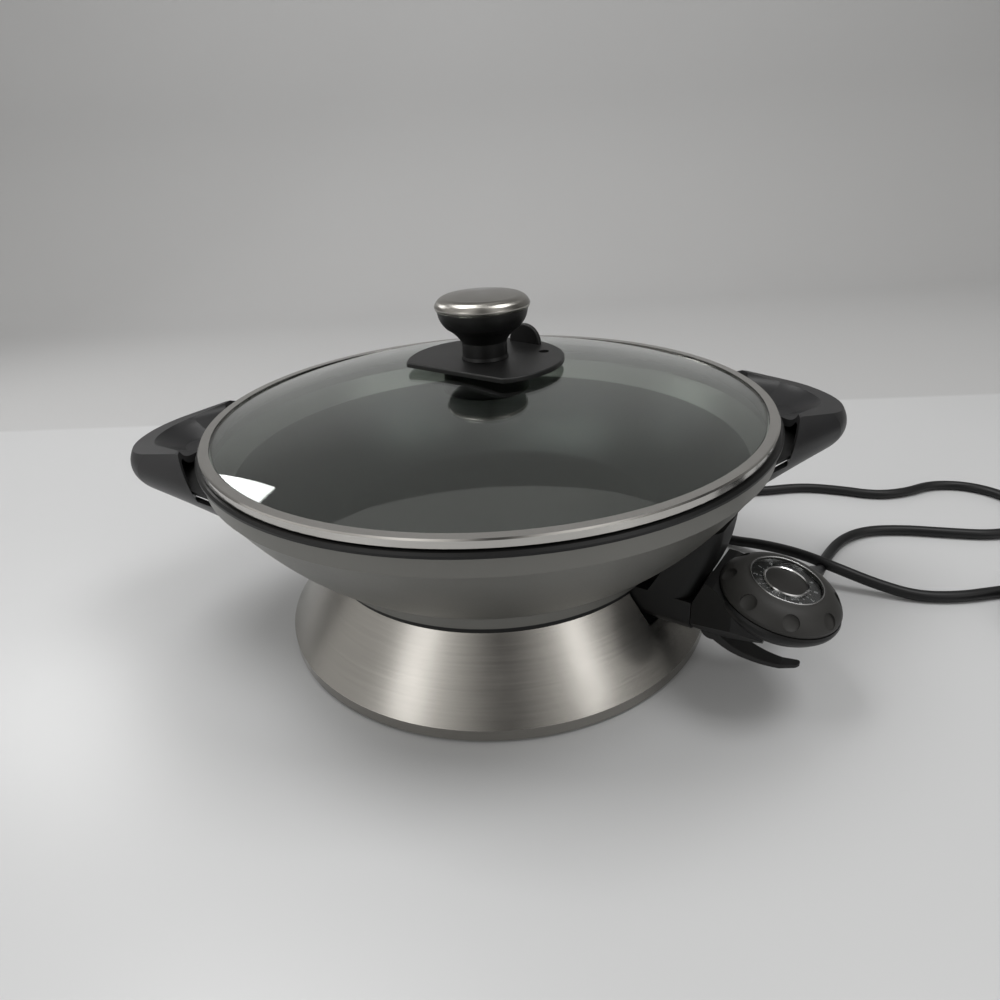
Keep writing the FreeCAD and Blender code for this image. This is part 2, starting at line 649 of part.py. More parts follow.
def handle_bracket():
    """A steel angle welded to the bowl's wall, with a leg under the handle."""
    level = bracket_level()
    near = bowl_outside(0.0)
    shell = bowl_outside(BRACKET_T)
    leaf = shell.cut(near).common(block(100, 200, -BRACKET_W / 2, BRACKET_W / 2,
                                        level - BRACKET_DROP, level + BRACKET_T))
    leg = block(150, screw_x() + BRACKET_OUT / 2, -BRACKET_W / 2, BRACKET_W / 2, level, level + BRACKET_T)
    leg = leg.cut(near)
    body = leaf.fuse(leg)
    for y in screw_rows():
        body = body.cut(Part.makeCylinder(SCREW_R + FIT_GAP, 10, V(screw_x(), y, level - 4)))
    return largest(body.removeSplitter())


def handle_screw(y):
    level = bracket_level()
    head = Part.makeCylinder(SCREW_HEAD_R, SCREW_HEAD_H, V(screw_x(), y, level - SCREW_HEAD_H))
    shaft = Part.makeCylinder(SCREW_R, SCREW_LEN, V(screw_x(), y, level))
    return head.fuse(shaft)


# Lid
def lid_glass():
    low_dome = V(DOME_R_IN * 0.5, 0, dome_z(DOME_R_IN * 0.5, GLASS_T))
    high_dome = V(DOME_R_IN * 0.5, 0, dome_z(DOME_R_IN * 0.5))
    under_r = math.sqrt((DOME_RADIUS - GLASS_T) ** 2 - (GLASS_LOW - DOME_CENTRE) ** 2)
    profile = [rz(GLASS_EDGE_R, GLASS_LOW), rz(GLASS_EDGE_R, GLASS_LAND), rz(DOME_R_IN, GLASS_LAND),
               (high_dome, rz(0, GLASS_APEX)), rz(0, GLASS_APEX - GLASS_T),
               (low_dome, rz(under_r, GLASS_LOW))]
    body = revolve(profile)
    body = body.cut(Part.makeCylinder(LID_HOLE_R, 40, V(0, 0, GLASS_LOW)))
    return body.cut(Part.makeCylinder(VENT_HOLE_R, 60, polar(VENT_HOLE_PITCH, VENT_HOLE_TURN, GLASS_LOW)))


def lid_rim():
    top = GLASS_LAND + FIT_GAP
    profile = [rz(LID_SKIRT_R, LID_BOTTOM - LID_SKIRT_H), rz(LID_SKIRT_R + LID_SHEET, LID_BOTTOM - LID_SKIRT_H),
               rz(LID_SKIRT_R + LID_SHEET, LID_BOTTOM), rz(LID_R - 0.8, LID_BOTTOM), rz(LID_R, LID_BOTTOM + 0.8),
               rz(LID_R, top), rz(LID_R - LID_SHEET, top + LID_SHEET), rz(DOME_R_IN + 1, top + LID_SHEET),
               rz(DOME_R_IN + 1, top), rz(LID_R - LID_SHEET, top), rz(LID_R - LID_SHEET, LID_BOTTOM + LID_SHEET),
               rz(LID_SKIRT_R, LID_BOTTOM + LID_SHEET)]
    return revolve(profile)


def lid_washer():
    body = ring(LID_SCREW_R + FIT_GAP, WASHER_R, GLASS_APEX - 1, PLATE_RISE + 1)
    dome = revolve([rz(0, 0), rz(PLATE_R, 0), rz(PLATE_R, dome_z(PLATE_R)),
                    (rz(PLATE_R / 2, dome_z(PLATE_R / 2)), rz(0, GLASS_APEX))])
    return body.cut(dome)


def vent_plate():
    """A thin disc that turns under the knob, with a thumb tab and a hole that meets the steam hole."""
    disc = Part.makeCylinder(PLATE_R, PLATE_T, V(0, 0, PLATE_BOTTOM))
    cutter = Part.makeBox(PLATE_R, 4 * PLATE_R, 3 * PLATE_T, V(PLATE_CUT, -2 * PLATE_R, PLATE_BOTTOM - PLATE_T))
    disc = disc.cut(turned(cutter, PLATE_CUT_TURN))
    corners = [e for e in disc.Edges if abs(e.BoundBox.ZLength - PLATE_T) < 1e-6
               and math.hypot(e.CenterOfMass.x, e.CenterOfMass.y) > PLATE_CUT
               and not seam(disc, e)]
    disc = disc.makeFillet(PLATE_CORNER, corners)
    upper = [e for e in disc.Edges if abs(e.BoundBox.ZMin - PLATE_TOP) < 1e-6]
    disc = disc.makeFillet(PLATE_EDGE, upper)
    disc = disc.cut(Part.makeCylinder(spindle_r() + MOVE_GAP, 3 * PLATE_T, V(0, 0, PLATE_BOTTOM - PLATE_T)))
    tab = Part.makeCylinder(TAB_R, TAB_T, V(0, 0, 0), V(0, 1, 0))
    tab = tab.common(block(-TAB_R, TAB_R, 0, TAB_T, -PLATE_T / 2, TAB_R))
    round_edges = [e for e in tab.Edges if e.Curve.TypeId == "Part::GeomCircle"]
    tab = tab.makeFillet(TAB_T / 3, round_edges)
    tab.translate(V(0, -TAB_T / 2, 0))
    tab.rotate(ORIGIN, UP, TAB_TURN - 90)
    tab.translate(polar(TAB_PITCH, TAB_TURN, PLATE_TOP))
    hole = Part.makeCylinder(VENT_HOLE_R, 3 * PLATE_T,
                             polar(VENT_HOLE_PITCH, VENT_HOLE_TURN - VENT_TRAVEL, PLATE_BOTTOM - PLATE_T))
    return disc.fuse(tab).cut(hole).removeSplitter()


def seam(shape, edge):
    """Whether an edge is only the seam of a round face."""
    return any(sum(1 for e in face.Edges if e.isSame(edge)) > 1 for face in shape.Faces)


def spindle_r():
    return NECK_R - 5.0


def knob_neck():
    foot_z = PLATE_TOP + MOVE_GAP
    spin = spindle_r()
    profile = [rz(LID_SCREW_R + FIT_GAP, PLATE_BOTTOM), rz(spin, PLATE_BOTTOM), rz(spin, foot_z),
               rz(NECK_R + 0.6, foot_z), rz(NECK_R, foot_z + 2), rz(NECK_R, NECK_TOP),
               (rz(NECK_R + 3.4, NECK_TOP + 4.6), rz(NECK_R + 9.0, NECK_TOP + 9.2)),
               (rz(NECK_R + 12.6, NECK_TOP + 14.2), rz(KNOB_EDGE_R - 0.5, CAP_BOTTOM)),
               rz(LID_SCREW_R + FIT_GAP, CAP_BOTTOM)]
    return revolve(profile)


def knob_cap():
    wide = rz(KNOB_R, KNOB_WIDE_Z)
    shoulder = rz(KNOB_R - KNOB_SHOULDER, KNOB_TOP - KNOB_CROWN)
    side = rz(KNOB_R - KNOB_SHOULDER * 0.3, (KNOB_WIDE_Z * 0.38 + shoulder.z * 0.62))
    lower = rz(KNOB_R - KNOB_EDGE * 0.3, CAP_BOTTOM + KNOB_EDGE_H * 0.4)
    profile = [rz(0, CAP_BOTTOM), rz(KNOB_EDGE_R, CAP_BOTTOM), (lower, wide), (side, shoulder),
               crown(shoulder, KNOB_TOP)]
    return revolve(profile)


def lid_retainer():
    """The cup that clamps the lid's centre from below."""
    top_r = RETAINER_R - 1.5
    profile = [rz(LID_SCREW_R + FIT_GAP, RETAINER_BOTTOM + 4), rz(SCREW_HEAD_R + 1.5, RETAINER_BOTTOM + 4),
               rz(SCREW_HEAD_R + 1.5, RETAINER_BOTTOM), rz(RETAINER_R - 2, RETAINER_BOTTOM),
               (rz(RETAINER_R - 0.6, RETAINER_BOTTOM + 0.6), rz(RETAINER_R, RETAINER_BOTTOM + 2)),
               rz(top_r, dome_z(top_r, GLASS_T)),
               (rz(top_r / 2, dome_z(top_r / 2, GLASS_T)), rz(LID_SCREW_R + FIT_GAP,
                dome_z(LID_SCREW_R, GLASS_T)))]
    return revolve(profile)


def lid_screw():
    seat = RETAINER_BOTTOM + 4
    head = Part.makeCylinder(SCREW_HEAD_R, SCREW_HEAD_H, V(0, 0, seat - SCREW_HEAD_H))
    shaft = Part.makeCylinder(LID_SCREW_R, CAP_BOTTOM - seat - 4, V(0, 0, seat))
    return head.fuse(shaft)


# Probe, modelled along +X and turned into place
def dial_place(shape):
    """Put a piece modelled about Z at the dial's tilted axis, then turn it to the probe."""
    copy = shape.copy()
    copy.rotate(ORIGIN, V(0, 1, 0), DIAL_TILT)
    copy.translate(V(DIAL_RHO, 0, DIAL_Z))
    return copy


def probe_housing():
    """Round lower shell, and the neck that fills the step between dial and socket."""
    depth = HOUSING_DEPTH
    cup = revolve([rz(0, -depth), rz(10, -depth), (rz(22, -depth + 2.2), rz(HOUSING_R - 2.2, -HOUSING_SIDE - 2)),
                   (rz(HOUSING_R - 0.4, -HOUSING_SIDE + 0.8), rz(HOUSING_R, -2)), rz(HOUSING_R - 0.6, -MOVE_GAP),
                   rz(0, -MOVE_GAP)])
    post = Part.makeCylinder(POST_R, SCALE_Z + MOVE_GAP, V(0, 0, -MOVE_GAP))
    cup = dial_place(cup.fuse(post).removeSplitter())
    start = BARREL_OUT + JOINT_GAP
    low = BARREL_BOTTOM
    lean = start + COLLAR_LEAN
    side = [rz(start, low), rz(start, BOWL_BOTTOM), rz(lean, COLLAR_TOP), rz(lean + 5, COLLAR_TOP - 1),
            rz(DIAL_RHO, DIAL_Z - 6), rz(DIAL_RHO, DIAL_Z - HOUSING_DEPTH + 2),
            rz(DIAL_RHO - 8, DIAL_Z - HOUSING_DEPTH - 4), rz(start + 20, low)]
    slab = prism(side, V(0, 80, 0))
    slab.translate(V(0, -40, 0))
    half = NECK_W / 2
    wide = HOUSING_R - 7
    plan = wire([V(start, -half, 0), (V(start + 9, -half - 2.5, 0), V(DIAL_RHO - 18, -wide, 0)),
                 V(DIAL_RHO, -wide, 0), V(DIAL_RHO, wide, 0), V(DIAL_RHO - 18, wide, 0),
                 (V(start + 9, half + 2.5, 0), V(start, half, 0))])
    neck = slab.common(Part.Face(plan).extrude(V(0, 0, 120)))
    for way in (-1, 1):
        edge = half - HOUSING_BEVEL
        wedge = prism([V(start - 1, way * edge, low - 1), V(start - 1, way * (edge + wide), low - 1),
                       V(start - 1, way * (edge + wide), low + wide)], V(DIAL_RHO, 0, 0))
        neck = neck.cut(wedge)
    above = revolve([rz(0, -MOVE_GAP), rz(HOUSING_R - 0.6, -MOVE_GAP), rz(HOUSING_R - 0.6, 40), rz(0, 40)])
    neck = neck.cut(dial_place(above))
    nose_half = GUARD_HALF - GUARD_WALL - NOSE_GAP
    nose = rounded_block(nose_in(), start + 3, nose_half, BARREL_BOTTOM + GUARD_WALL + NOSE_GAP,
                         2 * PROBE_Z - BARREL_BOTTOM - GUARD_WALL - NOSE_GAP, BARREL_ROUND - GUARD_WALL - 0.5)
    body = cup.fuse(neck).fuse(nose)
    sleeve_r = PIN_R + SLEEVE_GAP + SLEEVE_T + FIT_GAP
    for y in (-PIN_PITCH / 2, PIN_PITCH / 2):
        body = body.cut(Part.makeCylinder(sleeve_r, sleeve_end() - nose_in(), V(nose_in(), y, PROBE_Z), V(1, 0, 0)))
    body = body.cut(Part.makeCylinder(ROD_R + FIT_GAP / 2, 12, V(nose_in(), 0, PROBE_Z), V(1, 0, 0)))
    slot_half = LEVER_W / 2 + LEVER_SLOT_GAP
    slot_r = LEVER_KNUCKLE_R + LEVER_SLOT_GAP
    slot = Part.makeCylinder(slot_r, 2 * slot_half, V(LEVER_RHO, -slot_half, LEVER_Z), V(0, 1, 0))
    slot = slot.fuse(block(LEVER_RHO, LEVER_RHO + 26, -slot_half, slot_half, 0, LEVER_Z + 3.5))
    body = body.cut(slot).fuse(lever_tongue(0.0))
    pin_hole = Part.makeCylinder(LEVER_PIN_R + FIT_GAP / 2, 2 * LEVER_W, V(LEVER_RHO, -LEVER_W, LEVER_Z),
                                 V(0, 1, 0))
    body = body.cut(pin_hole)
    boot_seat = boot_shape(FIT_GAP)
    body = body.cut(boot_seat)
    return to_probe(largest(body.removeSplitter()))


def lever_tongue(grow):
    """The web under the housing that carries the lever's pin."""
    half = TONGUE_W / 2 + grow
    radius = TONGUE_R + grow
    eye = Part.makeCylinder(radius, 2 * half, V(LEVER_RHO, -half, LEVER_Z), V(0, 1, 0))
    return eye.fuse(block(LEVER_RHO - radius, LEVER_RHO + radius, -half, half, LEVER_Z,
                          LEVER_Z + LEVER_KNUCKLE_R + 3))


def nose_in():
    return BARREL_IN + GUARD_BACK + JOINT_GAP


def sleeve_end():
    return PIN_END + 4


def contact_sleeve(side):
    outer = PIN_R + SLEEVE_GAP + SLEEVE_T
    length = sleeve_end() - nose_in()
    at = V(nose_in(), side * PIN_PITCH / 2, PROBE_Z)
    body = Part.makeCylinder(outer, length, at, V(1, 0, 0))
    bore = Part.makeCylinder(PIN_R + SLEEVE_GAP, length - 2, at, V(1, 0, 0))
    return to_probe(body.cut(bore))


def sensor_rod():
    shaft = Part.makeCylinder(ROD_R, nose_in() + 12 - ROD_END_R, V(ROD_END_R, 0, PROBE_Z), V(1, 0, 0))
    tip_edges = [e for e in shaft.Edges if abs(e.CenterOfMass.x - ROD_END_R) < 1e-6]
    return to_probe(shaft.makeFillet(1.5, tip_edges))


def lever_pin():
    half = LEVER_W / 2
    return to_probe(Part.makeCylinder(LEVER_PIN_R, 2 * half, V(LEVER_RHO, -half, LEVER_Z), V(0, 1, 0)))


def release_lever():
    """A bent blade that narrows to its tip, forked round the housing's tongue."""
    x0 = LEVER_RHO
    z0 = LEVER_Z
    low = z0 - LEVER_DIP
    reach = LEVER_END - x0
    half = LEVER_W / 2
    tip = LEVER_TIP_W / 2
    top = [rz(x0, z0), rz(x0 + LEVER_KNUCKLE_R - 1, z0 - 2),
           (rz(x0 + reach * 0.46, low + 1.6), rz(x0 + reach * 0.8, low + 0.2)), rz(LEVER_END, low + 3.0)]
    under = [rz(LEVER_END + 0.6, low + 1.4), rz(x0 + reach * 0.8, low - LEVER_T + 0.8),
             (rz(x0 + reach * 0.42, low - LEVER_T + 1.8), rz(x0 + 2, z0 - LEVER_KNUCKLE_R))]
    blade = prism(top + under, V(0, LEVER_W, 0))
    blade.translate(V(0, -half, 0))
    neck = x0 + reach * 0.25
    plan = wire([V(x0 - 10, -half, 0), V(neck, -half, 0), V(LEVER_END - tip, -tip, 0),
                 (V(LEVER_END, 0, 0), V(LEVER_END - tip, tip, 0)), V(neck, half, 0), V(x0 - 10, half, 0)])
    blade = blade.common(Part.Face(plan).extrude(V(0, 0, z0 * 2)))
    knuckle = Part.makeCylinder(LEVER_KNUCKLE_R, LEVER_W, V(x0, -half, z0), V(0, 1, 0))
    body = blade.fuse(knuckle).cut(lever_tongue(LEVER_SLOT_GAP))
    fork = TONGUE_W / 2 + LEVER_SLOT_GAP
    body = body.cut(block(x0 - 10, x0 + LEVER_KNUCKLE_R + 2, -fork, fork, z0, z0 + 10))
    body = body.cut(Part.makeCylinder(LEVER_PIN_R + FIT_GAP, 2 * LEVER_W, V(x0, -LEVER_W, z0), V(0, 1, 0)))
    return to_probe(largest(body.removeSplitter()))


# Dial, modelled about Z and then tilted
def dial_dome():
    rim = DIAL_R
    outside = [rz(rim, 0), rz(rim + 0.2, 2.2), (rz(rim - 3.6, 7.6), rz(LENS_R + 1.0, DIAL_H - 0.4)),
               rz(LENS_R, DIAL_H), rz(LENS_R - 0.6, DIAL_H - 0.8)]
    inside = [rz(LENS_R - 0.6, SCALE_Z - DIAL_WALL), rz(LENS_R + 2, SCALE_Z - DIAL_WALL),
              (rz(rim - DIAL_WALL - 3.6, 4.6), rz(rim - DIAL_WALL, 0))]
    body = revolve(outside + inside)
    bowl_r = (DIMPLE_R ** 2 + DIMPLE_DEPTH ** 2) / (2 * DIMPLE_DEPTH)
    at_r = 29.6
    lift = 5.9
    slope = 42.0
    a = math.radians(slope)
    centre = V(at_r + math.sin(a) * (bowl_r - DIMPLE_DEPTH), 0, lift + math.cos(a) * (bowl_r - DIMPLE_DEPTH))
    ball = Part.makeSphere(bowl_r, centre)
    pocket = ball.common(Part.makeCylinder(DIMPLE_R, 30, V(at_r, 0, lift) - V(math.sin(a), 0, math.cos(a)) * 15,
                                           V(math.sin(a), 0, math.cos(a))))
    for i in range(DIMPLES):
        body = body.cut(turned(pocket, 22.5 + i * 360.0 / DIMPLES))
    return to_probe(dial_place(body))


def dial_lens():
    """Clear ring over the scale; it turns with the dome."""
    outer = LENS_R - 0.7
    z0 = SCALE_Z + SCALE_T + MOVE_GAP
    body = ring(CAP_R + BEZEL_W, outer, z0, LENS_T)
    return to_probe(dial_place(body))


def dial_bezel():
    z0 = SCALE_Z + SCALE_T + MOVE_GAP
    top = z0 + LENS_T + 1.0
    body = revolve([rz(CAP_R, z0), rz(CAP_R + BEZEL_W, z0), rz(CAP_R + BEZEL_W, top - 0.5),
                    rz(CAP_R + BEZEL_W / 2, top), rz(CAP_R, top - 0.4)])
    return to_probe(dial_place(body))


def dial_cap():
    z0 = SCALE_Z + SCALE_T + MOVE_GAP
    top = z0 + LENS_T + 0.6
    edge = rz(CAP_R, top - 0.4)
    body = revolve([rz(0, z0), rz(CAP_R, z0), edge, crown(edge, top + 0.4)])
    return to_probe(dial_place(body))


def dial_scale():
    body = Part.makeCylinder(SCALE_R, SCALE_T, V(0, 0, SCALE_Z))
    return to_probe(dial_place(body))


# Cord
def probe_point(rho, side, z):
    a = math.radians(PROBE_TURN)
    return V(rho * math.cos(a) + side * math.sin(a), -rho * math.sin(a) + side * math.cos(a), z)


BOOT_AT = V(198.0, 31.0, 52.5)       # in the probe's own directions: out, across, up
BOOT_DIR = V(-0.02, 0.97, -0.243)


def boot_shape(grow):
    axis = V(BOOT_DIR).normalize()
    flange = Part.makeCylinder(BOOT_R + 1.2 + grow, 2.4 + 2 * grow, BOOT_AT - axis * (2.4 + grow), axis)
    root = Part.makeCylinder(BOOT_R + grow, 6, BOOT_AT - axis * 1.0, axis)
    if grow > 0:
        return root.fuse(flange).fuse(Part.makeCylinder(BOOT_R + grow, 12, BOOT_AT, axis))
    return root.fuse(flange)


def strain_relief():
    axis = V(BOOT_DIR).normalize()
    body = boot_shape(0)
    taper = Part.makeCone(BOOT_R, BOOT_TIP_R, BOOT_L - 5, BOOT_AT + axis * 5, axis)
    body = body.fuse(taper)
    for i in range(4):
        at = BOOT_AT + axis * (8.5 + i * 4)
        slot = ring(CORD_D / 2 + 0.5, BOOT_R + 2, 0, 1.3)
        slot.Placement = FreeCAD.Placement(at, FreeCAD.Rotation(UP, axis))
        keep = block(-1.6, 1.6, -BOOT_R, BOOT_R, -5, 5)
        keep.Placement = FreeCAD.Placement(at, FreeCAD.Rotation(UP, axis))
        body = body.cut(slot.cut(keep))
    return to_probe(largest(body.removeSplitter()))


def boot_end():
    axis = V(BOOT_DIR).normalize()
    tip = BOOT_AT + axis * BOOT_L
    return probe_point(tip.x, tip.y, tip.z)


def boot_way():
    axis = V(BOOT_DIR).normalize()
    return probe_point(axis.x, axis.y, axis.z)


# The route of the free cord: chosen by hand, from the strain relief to the coil.
def cord_route():
    start = boot_end()
    z = CORD_REST
    return [start, start + boot_way() * 18, V(222, -31, 22), V(238, -4, 8), V(255, 20, z), V(275, 41, z),
            V(300, 53, z), V(330, 51, z), V(361, 42, z), V(393, 34, z), V(425, 40, z), V(446, 64, z),
            V(447, 95, z), V(428, 120, z), V(397, 127, z), V(368, 115, z), V(340, 113, z), V(314, 127, z),
            V(283, 138, z), V(243, 134, z), V(203, 139, z), V(177, 127, z), V(163, 101, z), V(168, 72, z),
            V(188, 51, z), V(207, 34, 9), V(225, 4, 17), V(245, -17, 15), V(267, -28, 8), V(290, -40, z),
            V(317, -44, z), V(344, -41, z), coil_point(0) - V(3.4 * CORD_D, 0, 0), coil_point(0) - V(CORD_D, 0, 0)]


def coil_radius(turns):
    """Radius of the coil's centre line after some turns: in, level on the climb, and out again."""
    pitch = CORD_D + COIL_GAP
    outer = (COIL_MEAN_D + COIL_IN_TURNS * pitch) / 2
    inward = min(turns, COIL_IN_TURNS)
    outward = max(0.0, turns - COIL_IN_TURNS - COIL_CLIMB_TURNS)
    return outer - pitch * (inward - outward)


def coil_height(turns):
    """The second layer lies on the first; the climb is a smooth half wave."""
    share = min(1.0, max(0.0, (turns - COIL_IN_TURNS) / COIL_CLIMB_TURNS))
    return CORD_REST + (CORD_D + COIL_LAYER_GAP) * (1 - math.cos(math.pi * share)) / 2


def coil_point(turns):
    """A point of the coil's centre line; it starts at the back and runs clockwise seen from above."""
    angle = math.pi / 2 - 2 * math.pi * turns
    radius = coil_radius(turns)
    return V(COIL_CENTRE[0] + radius * math.cos(angle), COIL_CENTRE[1] + radius * math.sin(angle),
             coil_height(turns))


def coil_way(turns):
    """The unit tangent of the coil's centre line; the two ends run straight along X."""
    if turns in (0, COIL_TURNS):
        return V(1, 0, 0)
    step = 1e-4
    return (coil_point(turns + step) - coil_point(turns - step)).normalize()


def biarc(p0, way0, p1, way1):
    """Two arcs that leave one point and reach the next along given tangents."""
    v = p1 - p0
    both = way0 + way1
    a = 4 - both.dot(both)
    b = 2 * v.dot(both)
    d = (-b + math.sqrt(b * b + 4 * a * v.dot(v))) / (2 * a)
    q0 = p0 + way0 * d
    q1 = p1 - way1 * d
    joint = (q0 + q1) * 0.5
    return [corner_arc(p0, q0, joint), corner_arc(joint, q1, p1)]


def corner_arc(start, corner, end):
    """The arc that touches both legs of a corner at equal distances from it."""
    to_middle = ((start + end) * 0.5 - corner)
    leg = (start - corner).Length
    half = math.asin(min(1.0, (start - end).Length / 2 / leg))
    radius = leg * math.tan(half)
    reach = radius / math.sin(half) - radius
    return Part.Arc(start, corner + to_middle.normalize() * reach, end).toShape()


def rounded_path(points):
    """Straight runs joined by tangent arcs, each as large as its two runs allow."""
    edges = []
    radii = []
    last = points[0]
    for i in range(1, len(points) - 1):
        a = points[i - 1]
        b = points[i]
        c = points[i + 1]
        before = (a - b)
        after = (c - b)
        turn = math.pi - before.getAngle(after)
        cut = 0.45 * min(before.Length, after.Length)
        radii.append(cut / math.tan(turn / 2))
        into = b + V(before).normalize() * cut
        out = b + V(after).normalize() * cut
        bisect = (V(before).normalize() + V(after).normalize()).normalize()
        reach = radii[-1] / math.cos(turn / 2) - radii[-1]
        edges.append(Part.LineSegment(last, into).toShape())
        edges.append(Part.Arc(into, b + bisect * reach, out).toShape())
        last = out
    edges.append(Part.LineSegment(last, points[-1]).toShape())
    return Part.Wire(edges), radii


def tube(path, first, second, radius):
    way = (second - first).normalize()
    section = Part.Wire([Part.Circle(first, way, radius).toShape()])
    return path.makePipeShell([section], True, False)


def cord_free():
    points = cord_route()
    path, radii = rounded_path(points)
    body = tube(path, points[0], points[1], CORD_D / 2)
    print("cord free length %.0f least radius %.1f" % (path.Length, min(radii)))
    print("cord radii", [round(r) for r in radii])
    expected = math.pi * CORD_D ** 2 / 4 * path.Length
    print("cord volume over section times length %.4f" % (body.Volume / expected))
    return body


def coil_ends():
    """The coil's straight ends, one cord diameter long."""
    lead = V(CORD_D, 0, 0)
    return coil_point(0) - lead, coil_point(COIL_TURNS) + lead


def cord_coil():
    first, last = coil_ends()
    edges = [Part.LineSegment(first, coil_point(0)).toShape()]
    count = int(COIL_TURNS * 4)
    for i in range(count):
        a = i / 4.0
        b = (i + 1) / 4.0
        edges += biarc(coil_point(a), coil_way(a), coil_point(b), coil_way(b))
    edges.append(Part.LineSegment(coil_point(COIL_TURNS), last).toShape())
    path = Part.Wire(edges)
    body = tube(path, first, coil_point(0), CORD_D / 2)
    print("coil length %.0f, least gap %.2f, volume over section times length %.4f"
          % (path.Length, coil_gap(), body.Volume / (math.pi * CORD_D ** 2 / 4 * path.Length)))
    return body


def coil_gap():
    """Least gap between turns, measured on points of the centre line."""
    steps = 96
    points = [coil_point(i / float(steps)) for i in range(int(COIL_TURNS * steps) + 1)]
    least = 1e9
    for i in range(len(points)):
        for j in range(i + steps // 2, len(points)):
            least = min(least, points[i].distanceToPoint(points[j]))
    return least - CORD_D


# Plug, lying on its side at the end of the coil
def plug_at():
    return coil_ends()[1] + V(PLUG_TAIL, 0, 0)


def cord_tail():
    """The short straight stretch from the coil to the plug."""
    return Part.makeCylinder(CORD_D / 2, PLUG_TAIL, coil_ends()[1], V(1, 0, 0))


def plug_body():
    at = plug_at()
    boot = Part.makeCone(PLUG_BOOT_R, PLUG_BOOT_R + 2.5, PLUG_BOOT_L, at, V(1, 0, 0))
    grip = rounded_block(at.x + PLUG_BOOT_L, at.x + PLUG_BOOT_L + PLUG_L, PLUG_W / 2, at.z - PLUG_W / 2,
                         at.z + PLUG_W / 2, PLUG_ROUND)
    grip.translate(V(0, at.y, 0))
    grooves = []
    for side in (-1, 1):
        for i in range(4):
            x = at.x + PLUG_BOOT_L + 6 + i * 4.5
            grooves.append(Part.makeCylinder(1.2, PLUG_W, V(x, at.y + side * (PLUG_W / 2 + 0.4), at.z - PLUG_W / 2)))
    body = boot.fuse(grip).cut(Part.makeCompound(grooves))
    face = at.x + PLUG_BOOT_L + PLUG_L
    for y, z, half_y, half_z in blade_places():
        body = body.cut(block(face - BLADE_ROOT, face + 1, at.y + y - half_y, at.y + y + half_y,
                              at.z + z - half_z, at.z + z + half_z))
    ground = Part.makeCylinder(GROUND_R, BLADE_ROOT + 1, V(face - BLADE_ROOT, at.y, at.z + GROUND_DROP), V(1, 0, 0))
    return body.cut(ground).removeSplitter()


def blade_places():
    return [(side * BLADE_PITCH / 2, BLADE_RISE, BLADE_T / 2, BLADE_W / 2) for side in (-1, 1)]


def plug_blade(index):
    at = plug_at()
    y, z, half_y, half_z = blade_places()[index]
    face = at.x + PLUG_BOOT_L + PLUG_L
    body = block(face - BLADE_ROOT, face + BLADE_L, at.y + y - half_y, at.y + y + half_y,
                 at.z + z - half_z, at.z + z + half_z)
    tip = [e for e in body.Edges if abs(e.CenterOfMass.x - face - BLADE_L) < 1e-6
           and abs(e.tangentAt(e.FirstParameter).z) > 0.9]
    return body.makeChamfer(0.5, tip)


def plug_ground():
    at = plug_at()
    face = at.x + PLUG_BOOT_L + PLUG_L
    pin = Part.makeCylinder(GROUND_R, BLADE_ROOT + GROUND_L, V(face - BLADE_ROOT, at.y, at.z + GROUND_DROP), V(1, 0, 0))
    tip = [e for e in pin.Edges if abs(e.CenterOfMass.x - face - GROUND_L) < 1e-6]
    return pin.makeFillet(GROUND_R * 0.7, tip)


NODES = {
    "base_skirt": base_skirt, "base_frame": base_frame, "base_collar": base_collar,
    "wok_bowl": wok_bowl, "heating_element": heating_element, "probe_guard": probe_guard,
    "lid_glass": lid_glass, "lid_rim": lid_rim, "lid_washer": lid_washer, "vent_plate": vent_plate,
    "knob_neck": knob_neck, "knob_cap": knob_cap, "lid_retainer": lid_retainer, "lid_screw": lid_screw,
    "probe_housing": probe_housing, "sensor_rod": sensor_rod, "lever_pin": lever_pin,
    "release_lever": release_lever, "dial_dome": dial_dome, "dial_lens": dial_lens,
    "dial_bezel": dial_bezel, "dial_cap": dial_cap, "dial_scale": dial_scale,
    "strain_relief": strain_relief, "cord_free": cord_free, "cord_coil": cord_coil,
    "cord_tail": cord_tail, "plug_body": plug_body, "plug_ground": plug_ground,
}


def main():
    for name, make in NODES.items():
        save(make(), name)
    for i, angle in enumerate(foot_angles()):
        save(foot(angle), "foot_%d" % (i + 1))
    save(terminal_pin(-1), "terminal_pin_front")
    save(terminal_pin(1), "terminal_pin_back")
    save(contact_sleeve(-1), "contact_sleeve_front")
    save(contact_sleeve(1), "contact_sleeve_back")
    save(plug_blade(0), "plug_blade_front")
    save(plug_blade(1), "plug_blade_back")
    right = handle()
    bracket = handle_bracket()
    for side, angle in (("right", 0), ("left", 180)):
        save(turned(right, angle), "handle_" + side)
        save(turned(bracket, angle), "bracket_" + side)
        for i, y in enumerate(screw_rows()):
            save(turned(handle_screw(y), angle), "screw_%s_%d" % (side, i + 1))


main()
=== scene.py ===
import json
import math

import bpy
from mathutils import Matrix, Vector


